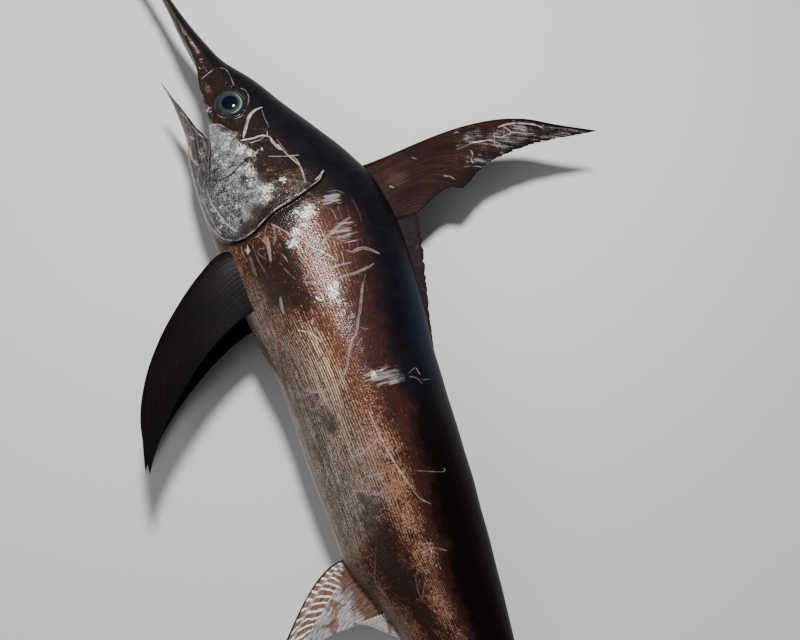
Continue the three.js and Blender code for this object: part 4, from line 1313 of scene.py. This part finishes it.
class SwordfishEyes(bpy.types.Operator):
    """Makes both eyes, each a wide flat globe with a raised pupil"""

    bl_idname = "swordfish.eyes"
    bl_label = "Eyes"

    def execute(self, context):
        look = context.scene.swordfish_eye
        material = eye_material(look)
        for name, side in (("left", 1), ("right", -1)):
            middle, axis = eye_frame(side)
            turn = Vector(axis).to_track_quat("Z", "Y").to_matrix()
            bm = bmesh.new()
            bmesh.ops.create_uvsphere(bm, u_segments=96, v_segments=72, radius=1)
            x, y, z = np.array([vert.co for vert in bm.verts]).T
            x, y, z = x * EYE_RADIUS, y * EYE_RADIUS, z * EYE_DEPTH
            radius = np.hypot(x, y)
            pupil = look.pupil_radius / MM
            dish = DISH_DEPTH * bump_at(radius - DISH_RADIUS, DISH_WIDTH)
            dish -= PUPIL_RISE * blend(pupil + PUPIL_EDGE, pupil - PUPIL_EDGE, radius)
            height = z - np.where(z > 0, dish, 0) - EYE_SUNK
            placed = np.stack([x, y, height], 1) @ np.array(turn).T
            for vert, point in zip(bm.verts, to_part(placed + middle)):
                vert.co = point
            bmesh.ops.recalc_face_normals(bm, faces=bm.faces)
            eye = to_object(f"eye_ball_{name}", bm, material)
            # How far a point lies towards the eye's lit upper side, which the material paints lighter, with
            # painted shade on the other side
            light_side = (placed @ (0.35, 0.9, 0.0) + 2) / EYE_RADIUS
            paint_values(eye.data, "eye", radius, np.abs(np.arctan2(y, x)) * 2, light_side)
            stand_for(eye, "eye", f"eye_{name}")
        return {"FINISHED"}


# Fins in the side view: the leading edge, the rear edge, the base and the free margin, the count of rays,
# the thickness at the root and at the edge, the height of a ray, and how ragged the margin is.
FIRST_DORSAL = {
    "lead": [(280, 120), (276, 175), (262, 285), (259, 352), (265, 415), (281, 468), (309, 518), (346, 590)],
    "rear": [(399.7, 140), (399.7, 207)],
    "base": [(280, 120), (340, 138), (399.7, 140)],
    "margin": [
        (346, 590), (341, 540), (337, 496), (335, 452), (339, 404), (347, 363), (361, 334), (379, 306),
        (371, 288), (372, 266), (385, 237), (399.7, 207),
    ],
    "rays": 34, "root": 12, "edge": 1.4, "ridge": 0.35, "rag": 0.035,
}
LOW_DORSAL = {
    "lead": [(396, 140), (399, 206)],
    "rear": [(648, 132), (650, 149)],
    "base": [(396, 140), (520, 140), (648, 132)],
    "margin": [(399, 206), (443, 200), (519, 181), (585, 164), (650, 149)],
    "rays": 22, "root": 9, "edge": 1.2, "ridge": 0.4, "rag": 0.14,
}
SECOND_DORSAL = {
    "lead": [(1192, 86), (1204, 112), (1224, 136), (1246, 149)],
    "rear": [(1244, 68), (1252, 90)],
    "base": [(1192, 86), (1220, 76), (1244, 68)],
    "margin": [(1246, 149), (1240, 128), (1242, 108), (1252, 90)],
    "rays": 6, "root": 7, "edge": 1, "ridge": 0.5, "rag": 0.04,
}
FIRST_ANAL = {
    "lead": [(932, -92), (934, -125), (948, -155), (974, -187), (1010, -222), (1050, -257), (1096, -296)],
    "rear": [(1034, -56), (1036, -126)],
    "base": [(932, -92), (980, -72), (1034, -56)],
    "margin": [(1096, -296), (1066, -246), (1046, -198), (1036, -160), (1036, -126)],
    "rays": 12, "root": 11, "edge": 1.3, "ridge": 0.8, "rag": 0.05,
}
LOW_ANAL = {
    "lead": [(1030, -56), (1032, -122)],
    "rear": [(1074, -40), (1080, -58)],
    "base": [(1030, -56), (1054, -48), (1074, -40)],
    "margin": [(1032, -122), (1046, -97), (1080, -58)],
    "rays": 6, "root": 9, "edge": 1.2, "ridge": 0.6, "rag": 0.12,
}
SECOND_ANAL = {
    "lead": [(1176, -14), (1186, -42), (1204, -66), (1226, -80)],
    "rear": [(1226, 4), (1234, -18)],
    "base": [(1176, -14), (1200, -4), (1226, 4)],
    "margin": [(1226, -80), (1220, -58), (1223, -38), (1234, -18)],
    "rays": 6, "root": 7, "edge": 1, "ridge": 0.5, "rag": 0.04,
}
PECTORAL = {
    "lead": [
        (398, -112), (390, -150), (418, -194), (460, -242), (506, -286), (560, -324), (626, -350),
        (710, -356),
    ],
    "rear": [(498, -108), (514, -150)],
    "base": [(398, -112), (450, -104), (498, -108)],
    "margin": [(710, -356), (680, -338), (634, -302), (596, -264), (560, -222), (534, -186), (514, -150)],
    "rays": 16, "root": 13, "edge": 1.4, "ridge": 0.15, "rag": 0.002,
}
PECTORAL_ROOT, PECTORAL_RISE, PECTORAL_ARCH, PECTORAL_DROOP = (440, -118), 52, 14, 10
PECTORAL_RIGHT_SWEEP, PECTORAL_SPAN = 7, 232.5
TAIL_LOBE = {
    "lead": [(1368, 0.15), (1372, 48), (1388, 96), (1424, 168), (1480, 248), (1568, 320)],
    "rear": [(1412, 0.15), (1442, 0.15)],
    "base": [(1368, 0.15), (1390, 0.15), (1412, 0.15)],
    "margin": [(1568, 320), (1516, 232), (1478, 142), (1456, 66), (1442, 0.15)],
    "rays": 22, "root": 16, "edge": 1.5, "ridge": 0.7, "rag": 0.02,
}
TAIL_REACH, TAIL_DROOP = 318, 14

# Bare pale lines on the first dorsal fin's left face, in the same form as those on the skin
FIN_LINES = [
    [
        (1.5, 1.8, [(282, 408), (281, 425), (283, 444), (290, 462), (298, 479), (309, 491)]),
        (1.3, 1.5, [(300, 429), (304, 442), (310, 454), (315, 470)]),
        (1.4, 1.75, [(297, 345), (299, 363), (301, 376), (302, 386), (306, 393)]),
        (1.2, 1.6, [(310, 343), (321, 344), (330, 337), (339, 340)]),
        (1.0, 1.4, [(272, 321), (268, 330), (273, 336)]),
        (1.6, 0.8, [(261, 333), (259, 350), (262, 365)]),
        (1.4, 1.4, [(345, 276), (350, 288), (359, 295)]),
        (1.4, 1.9, [(335, 174), (342, 183)]),
        (1.0, 1.4, [(291, 230), (299, 241)]),
        (1.2, 0.6, [(327, 478), (332, 501), (342, 525), (347, 548)]),
    ],
    [
        (1.4, 1.6, [(276, 439), (278, 456), (286, 474), (296, 492)]),
        (1.4, 1.7, [(303, 404), (302, 416), (300, 429), (290, 425), (281, 418)]),
        (1.0, 1.5, [(284, 399), (298, 396), (312, 392), (326, 395)]),
        (1.2, 0.7, [(339, 318), (344, 340), (354, 358)]),
        (1.4, 0.8, [(308, 496), (316, 515), (325, 536), (336, 556)]),
        (1.2, 0.5, [(302, 318), (300, 338), (298, 355)]),
    ],
]
# Soft patches on it: x, y, their reach across and up the fin, and strength
FIN_PALE = [
    (284, 352, 18, 30, 0.8), (306, 405, 24, 28, 1.0), (298, 448, 22, 22, 1.0), (330, 350, 16, 24, 0.6),
    (318, 430, 14, 26, 0.8), (322, 470, 12, 22, 0.5), (310, 500, 12, 34, 0.8), (330, 520, 12, 34, 0.7),
    (336, 556, 10, 24, 0.5), (318, 396, 20, 20, 0.6), (312, 452, 20, 20, 0.7),
]
FIN_BROWN = [
    (326, 193, 22, 26, 1.0), (300, 250, 16, 40, 0.4), (340, 250, 16, 30, 0.4), (298, 388, 8, 10, 1.0),
]


def fin_patch(fin, across, along):
    """A place in the side view between a fin's four edges."""
    lead, rear = spline(fin["lead"], along), spline(fin["rear"], along)
    base, margin = spline(fin["base"], across), spline(fin["margin"], across)
    corners = [np.array(fin[name][end], float) for name in ("base", "margin") for end in (0, -1)]
    a, t = across[:, None], along[:, None]
    return (lead * (1 - a) + rear * a + base * (1 - t) + margin * t
            - corners[0] * (1 - a) * (1 - t) - corners[1] * a * (1 - t)
            - corners[2] * (1 - a) * t - corners[3] * a * t)


def fin_piece(name, fin, rows, material, level=None, turn=None, seed=1):
    """A fin of two ridged faces that meet in a thin edge, made from one wound tube."""
    rng = np.random.default_rng(seed)
    notch_places = np.linspace(0, 1, fin["rays"] * 3 + 1)
    notches = rng.random(len(notch_places)) ** 2 * fin["rag"]

    def shares(u, v):
        """Across the fin from its leading edge, along it from its base, and turns of its rays."""
        across = 1 - np.abs(1 - 2 * v)
        return across, u ** 0.9, fin["rays"] * across ** 0.9

    def place(u, v):
        across, along, rays = shares(u, v)
        side = np.where(v < 0.5, 1, -1)
        torn = np.interp(across, notch_places, notches) * np.minimum(1, 6 * across * (1 - across))
        spot = fin_patch(fin, across, along * (1 - torn * along ** 3))
        ray = (0.5 + 0.5 * np.cos(2 * math.pi * rays)) ** 2 * fin["ridge"] * (1 - 0.55 * along)
        rounded = (1 - np.abs(2 * across - 1) ** 10) ** 0.5 * (1 - along ** 14) ** 0.5
        lens = np.sin(math.pi * across ** 0.55) ** 0.8
        body = (fin["root"] - fin["edge"]) * (1 - along) ** 1.3 * lens
        rise = (fin["edge"] / 2 + body / 2 + ray * np.minimum(1, 12 * across * (1 - across))) * rounded
        x, y = (turn(spot) if turn else spot).T
        height = level(x, y) if level else mid_level(x)
        return to_part(np.stack([x, y, np.maximum(0.2, height + side * rise)], 1))

    return to_object(name, wound_tube(rows, fin["rays"] * 8, place, "fin", shares), material)


def paint_fin_values(mesh):
    """Keeps on the first dorsal fin its bare lines and patches, on the left face alone."""
    x, y, z = mesh_points(mesh).T
    left = z > REST_HEIGHT
    for number, lines in enumerate(FIN_LINES):
        aside, room, strength = line_layer(x, y, lines)
        paint_values(mesh, f"fin_line_{number}", aside, np.where(left, room, -99), strength)
    pale, brown = (patch_share(x, y, patches) * left for patches in (FIN_PALE, FIN_BROWN))
    paint_values(mesh, "fin_spots", pale, brown, np.zeros(len(x)))


def fin_material(name, look, tone, worn_left=False):
    """Dark fin skin with faint brown streaks along the rays, a black leading edge and rubbed places."""
    p = Paint(name)
    dark, light, streaked = tone
    across, along, _ = p.attribute("fin")
    grain = p.noise(p.place, 330, 4, 0.65)
    patches = p.noise(p.place, 17, 5, 0.6, 0.5)
    lines = p.noise(p.join(p.times(along, 3), p.times(across, 46)), 1.0, 4, 0.65)
    colour = p.coats(
        p.mix(p.times(p.rise(lines, 0.3, 0.75), p.rise(patches, 0.3, 0.62, 0.35, 1.0)), dark, light),
        streaks=(p.times(p.rise(lines, 0.56, 0.76), p.rise(patches, 0.45, 0.65), 0.6), streaked),
        margin=(p.rise(along, 0.8, 1.0, 0.0, 0.75), dark),
    )
    if worn_left:
        pale, brown, _ = p.attribute("fin_spots")
        mottle = p.noise(p.place, 80, 4, 0.65)
        pale = p.rise(p.plus(pale, p.sway(mottle, 1.5), p.sway(patches, 1.2), p.sway(lines, 0.8)), 0.25, 0.9)
        threads = p.noise(p.join(p.times(along, 7), p.times(across, 60)), 1.0, 5, 0.7)
        threads = p.rise(p.weigh(0.0, (threads, 0.7), (grain, 0.3)), 0.46, 0.6)
        colour = p.coats(
            colour,
            root=(p.rise(p.plus(along, p.sway(lines, 0.3)), 0.16, 0.02, 0.0, 0.8), dark),
            worn=(pale, p.mix(threads, (0.014, 0.009, 0.009), look.pale)),
            brown=(p.times(p.rise(p.plus(brown, p.sway(lines, 2.2)), 0.4, 1.0), 0.7), (0.07, 0.034, 0.022)),
        )
        colour, _ = lay_lines(p, colour, "fin_line", FIN_LINES, p.sway(mottle, 1.0), look.pale)
    colour = p.mix(p.rise(p.weigh(across, (patches, 0.05)), 0.075, 0.045), colour, look.colour)
    p.set(Base_Color=colour, Roughness=p.rise(grain, 0.3, 0.75, 0.42, 0.6), Specular_IOR_Level=0.03,
          Normal=p.raise_by(p.weigh(0.0, (lines, 0.5), (grain, 0.4)), 0.0006),
          Coat_Weight=0.02, Coat_Roughness=0.2, Coat_IOR=1.36)
    return p.material


def anal_material(look):
    """Rows of brown cells between white gaps, a black leading edge and a torn white web."""
    p = Paint("swordfish_anal_fin")
    across, along, _ = p.attribute("fin")
    grain = p.noise(p.place, 300, 4, 0.65)
    patches = p.noise(p.place, 34, 5, 0.65, 0.6)
    streaks = p.noise(p.join(p.times(along, 7), p.times(across, 60)), 1.0, 4, 0.65)
    place = p.plus(across, p.sway(patches, 0.07))
    turn = p.weigh(0.0, (along, 17), (p.rise(place, 0.137, 0.143), 0.4), (patches, 1.2))
    gap = p.rise(p.far(p.math("FRACT", turn), 0.5), 0.31, 0.4)
    border = p.far(place, 0.14)
    brown = p.mix(p.rise(streaks, 0.36, 0.66), (0.085, 0.042, 0.027), (0.34, 0.2, 0.135))
    cells = p.coats(
        brown,
        gaps=(gap, (0.95, 0.9, 0.84)),
        border=(p.rise(border, 0.017, 0.01), (0.85, 0.8, 0.75)),
        seam=(p.rise(border, 0.009, 0.004), (0.02, 0.015, 0.014)),
    )
    web = p.mix(p.rise(streaks, 0.36, 0.66), (0.12, 0.11, 0.12), (0.66, 0.64, 0.65))
    web = p.mix(p.rise(patches, 0.5, 0.6), web, brown)
    root = p.plus(0.15, along, p.sway(patches, 0.5), p.times(across, -0.5))
    colour = p.coats(
        cells,
        web=(p.rise(p.plus(place, p.sway(streaks, 0.16)), 0.33, 0.37), web),
        root=(p.rise(root, 0.36, 0.2), p.mix(0.4, brown, (0.03, 0.014, 0.009))),
        leading_edge=(p.rise(place, 0.055, 0.035), look.colour),
    )
    p.set(Base_Color=colour, Roughness=p.rise(grain, 0.3, 0.75, 0.34, 0.55), Specular_IOR_Level=0.25,
          Normal=p.raise_by(p.weigh(0.0, (streaks, 0.7), (grain, 0.4)), 0.0007),
          Coat_Weight=0.15, Coat_Roughness=0.2)
    return p.material


def pectoral_turn(side):
    """Sweeps the right fin further back about its root."""
    angle = 0 if side > 0 else -math.radians(PECTORAL_RIGHT_SWEEP)
    spin = np.array([(math.cos(angle), -math.sin(angle)), (math.sin(angle), math.cos(angle))])
    return lambda spot: (spot - PECTORAL_ROOT) @ spin.T + PECTORAL_ROOT


def pectoral_level(side):
    """Height of a pectoral fin's middle: the left one arches up, the right one lies down to the floor."""
    def level(x, y):
        out = np.clip((PECTORAL_ROOT[1] - y) / PECTORAL_SPAN, -0.2, 1)
        arch = PECTORAL_ARCH * np.sin(math.pi * np.maximum(0, out)) - PECTORAL_DROOP * out
        fall = -0.6 * PECTORAL_RISE * np.maximum(0, out)
        return REST_HEIGHT + side * PECTORAL_RISE + (arch if side > 0 else fall)
    return level


class SwordfishBackFins(bpy.types.Operator):
    """Makes the high first dorsal fin, its low rear part and the small second dorsal fin"""

    bl_idname = "swordfish.back_fins"
    bl_label = "Back fins"

    def execute(self, context):
        look = context.scene.swordfish_fin
        brown = ((0.009, 0.0036, 0.0032), tuple(look.brown), (0.09, 0.04, 0.025))
        plain = fin_material("swordfish_back_fin", look,
                             ((0.012, 0.007, 0.008), (0.033, 0.018, 0.019), (0.08, 0.058, 0.055)))
        tall = fin_material("swordfish_tall_fin", look, brown, worn_left=True)
        for name, fin, node, paint, seed in (
            ("dorsal_blade_first", FIRST_DORSAL, "dorsal_fin_first", tall, 3),
            ("dorsal_blade_low", LOW_DORSAL, "dorsal_fin_low", plain, 4),
            ("dorsal_blade_second", SECOND_DORSAL, "dorsal_fin_second", plain, 5),
        ):
            piece = fin_piece(name, fin, look.rows, paint, seed=seed)
            if paint == tall:
                paint_fin_values(piece.data)
            stand_for(piece, "fin", node)
        return {"FINISHED"}


class SwordfishBellyFins(bpy.types.Operator):
    """Makes the first anal fin, its low rear part and the small second anal fin"""

    bl_idname = "swordfish.belly_fins"
    bl_label = "Belly fins"

    def execute(self, context):
        look = context.scene.swordfish_fin
        bare = anal_material(look)
        for name, fin, node, seed in (
            ("anal_blade_first", FIRST_ANAL, "anal_fin_first", 6),
            ("anal_blade_low", LOW_ANAL, "anal_fin_low", 7),
            ("anal_blade_second", SECOND_ANAL, "anal_fin_second", 8),
        ):
            stand_for(fin_piece(name, fin, look.rows, bare, seed=seed), "fin", node)
        return {"FINISHED"}


class SwordfishPectorals(bpy.types.Operator):
    """Makes the two long swept pectoral fins"""

    bl_idname = "swordfish.pectorals"
    bl_label = "Pectoral fins"

    def execute(self, context):
        look = context.scene.swordfish_fin
        tone = (tuple(look.colour), (0.01, 0.0055, 0.0072), (0.035, 0.0165, 0.015))
        material = fin_material("swordfish_pectoral", look, tone)
        for name, side in (("left", 1), ("right", -1)):
            fin = fin_piece(f"pectoral_blade_{name}", PECTORAL, look.rows, material, pectoral_level(side),
                            pectoral_turn(side), seed=9)
            stand_for(fin, "fin", f"pectoral_fin_{name}")
        return {"FINISHED"}


class SwordfishTail(bpy.types.Operator):
    """Makes the two lobes of the crescent tail"""

    bl_idname = "swordfish.tail"
    bl_label = "Tail"

    def execute(self, context):
        look = context.scene.swordfish_fin
        tone = (tuple(look.colour), (0.016, 0.011, 0.01), (0.05, 0.03, 0.025))
        material = fin_material("swordfish_tail", look, tone)

        def level(x, y):
            return mid_level(x) - TAIL_DROOP * (np.abs(y - TAIL_LEVEL) / TAIL_REACH) ** 2

        for name, up in (("upper", 1), ("lower", -1)):
            fin = fin_piece(f"tail_blade_{name}", TAIL_LOBE, look.rows, material, level,
                            lambda spot, up=up: spot * (1, up) + (0, TAIL_LEVEL), seed=10 + up)
            stand_for(fin, "fin", f"tail_fin_{name}")
        return {"FINISHED"}


# The camera: where it stands over the fish's middle plane and what it looks at, in the fish's own frame
CAMERA_TARGET = (582, 110, REST_HEIGHT)
CAMERA_OFFSET = (371.9, -195.1, 1387.9)
CAMERA_UP = (-0.91, 0.301, 0.286)
CAMERA_LENS, CAMERA_SENSOR = 37.35, 36
# The floor's size and how far it lies under the part, in metres
FLOOR_SIZE, FLOOR_GAP = 14, 0.0005
SKY_COLOUR = (0.86, 0.92, 1.0, 1)
# Where the soft lights stand, in the fish's own frame, and their width in metres
KEY_PLACE, KEY_WIDTH = (-460, 400, 2240), 0.4
FILL_PLACE, FILL_WIDTH = (900, -1700, 1700), 2.2


def aim(thing, place, target, up):
    """Stands a camera or light at a place and turns it to a target."""
    back = (place - target).normalized()
    right = up.cross(back).normalized()
    turn = Matrix((right, back.cross(right), back)).transposed()
    thing.matrix_world = Matrix.Translation(place) @ turn.to_4x4()


def part_point(place):
    """A place in the fish's own frame as a point of the part's."""
    return Vector(to_part(np.array(place, float)))


class SwordfishStage(bpy.types.Operator):
    """Makes the camera, the floor and the soft lights"""

    bl_idname = "swordfish.stage"
    bl_label = "Stage"

    def execute(self, context):
        look = context.scene.swordfish_stage
        scene = context.scene
        target = part_point(CAMERA_TARGET)
        lens = bpy.data.cameras.new("camera")
        lens.lens = CAMERA_LENS
        lens.sensor_width = CAMERA_SENSOR
        lens.clip_start = 0.01
        camera = bpy.data.objects.new("camera", lens)
        scene.collection.objects.link(camera)
        aim(camera, target + Vector(CAMERA_OFFSET) * MM, target, Vector(CAMERA_UP))
        scene.camera = camera

        bm = bmesh.new()
        bmesh.ops.create_grid(bm, x_segments=8, y_segments=8, size=FLOOR_SIZE / 2)
        bmesh.ops.translate(bm, verts=bm.verts, vec=(0, 0, -FLOOR_GAP))
        p = Paint("plain_floor")
        p.set(Base_Color=tuple(look.floor), Roughness=0.7)
        to_object("floor", bm, p.material)

        for name, power, place, size in (
            ("key", look.key_power, KEY_PLACE, KEY_WIDTH),
            ("fill", look.fill_power, FILL_PLACE, FILL_WIDTH),
        ):
            light = bpy.data.lights.new(name, "AREA")
            light.energy = power
            light.shape = "DISK"
            light.size = size
            lamp = bpy.data.objects.new(name, light)
            scene.collection.objects.link(lamp)
            aim(lamp, part_point(place), target, Vector((0, 0, 1)))

        world = bpy.data.worlds.new("plain_sky")
        world.use_nodes = True
        sky = world.node_tree.nodes["Background"]
        sky.inputs["Color"].default_value = SKY_COLOUR
        sky.inputs["Strength"].default_value = look.sky
        scene.world = world
        return {"FINISHED"}


class SwordfishPanel(bpy.types.Panel):
    """Lists the pieces of the fish"""

    bl_idname = "VIEW3D_PT_swordfish"
    bl_label = "Swordfish"
    bl_space_type = "VIEW_3D"
    bl_region_type = "UI"
    bl_category = "Swordfish"

    def draw(self, context):
        for step in STEPS:
            self.layout.operator(step.bl_idname)


STEPS = (
    SwordfishStage,
    SwordfishSkin,
    SwordfishBill,
    SwordfishEyes,
    SwordfishBackFins,
    SwordfishBellyFins,
    SwordfishPectorals,
    SwordfishTail,
)
LOOKS = {
    "swordfish_skin": SwordfishSkinLook,
    "swordfish_fin": SwordfishFinLook,
    "swordfish_eye": SwordfishEyeLook,
    "swordfish_stage": SwordfishStageLook,
}


def register():
    for kind in (*LOOKS.values(), *STEPS, SwordfishPanel):
        bpy.utils.register_class(kind)
    for name, kind in LOOKS.items():
        setattr(bpy.types.Scene, name, PointerProperty(type=kind))


def unregister():
    for name in LOOKS:
        delattr(bpy.types.Scene, name)
    for kind in (*LOOKS.values(), *STEPS, SwordfishPanel):
        bpy.utils.unregister_class(kind)


def main():
    register()
    for step in STEPS:
        group, name = step.bl_idname.split(".")
        getattr(getattr(bpy.ops, group), name)()


if __name__ == "__main__":
    main()
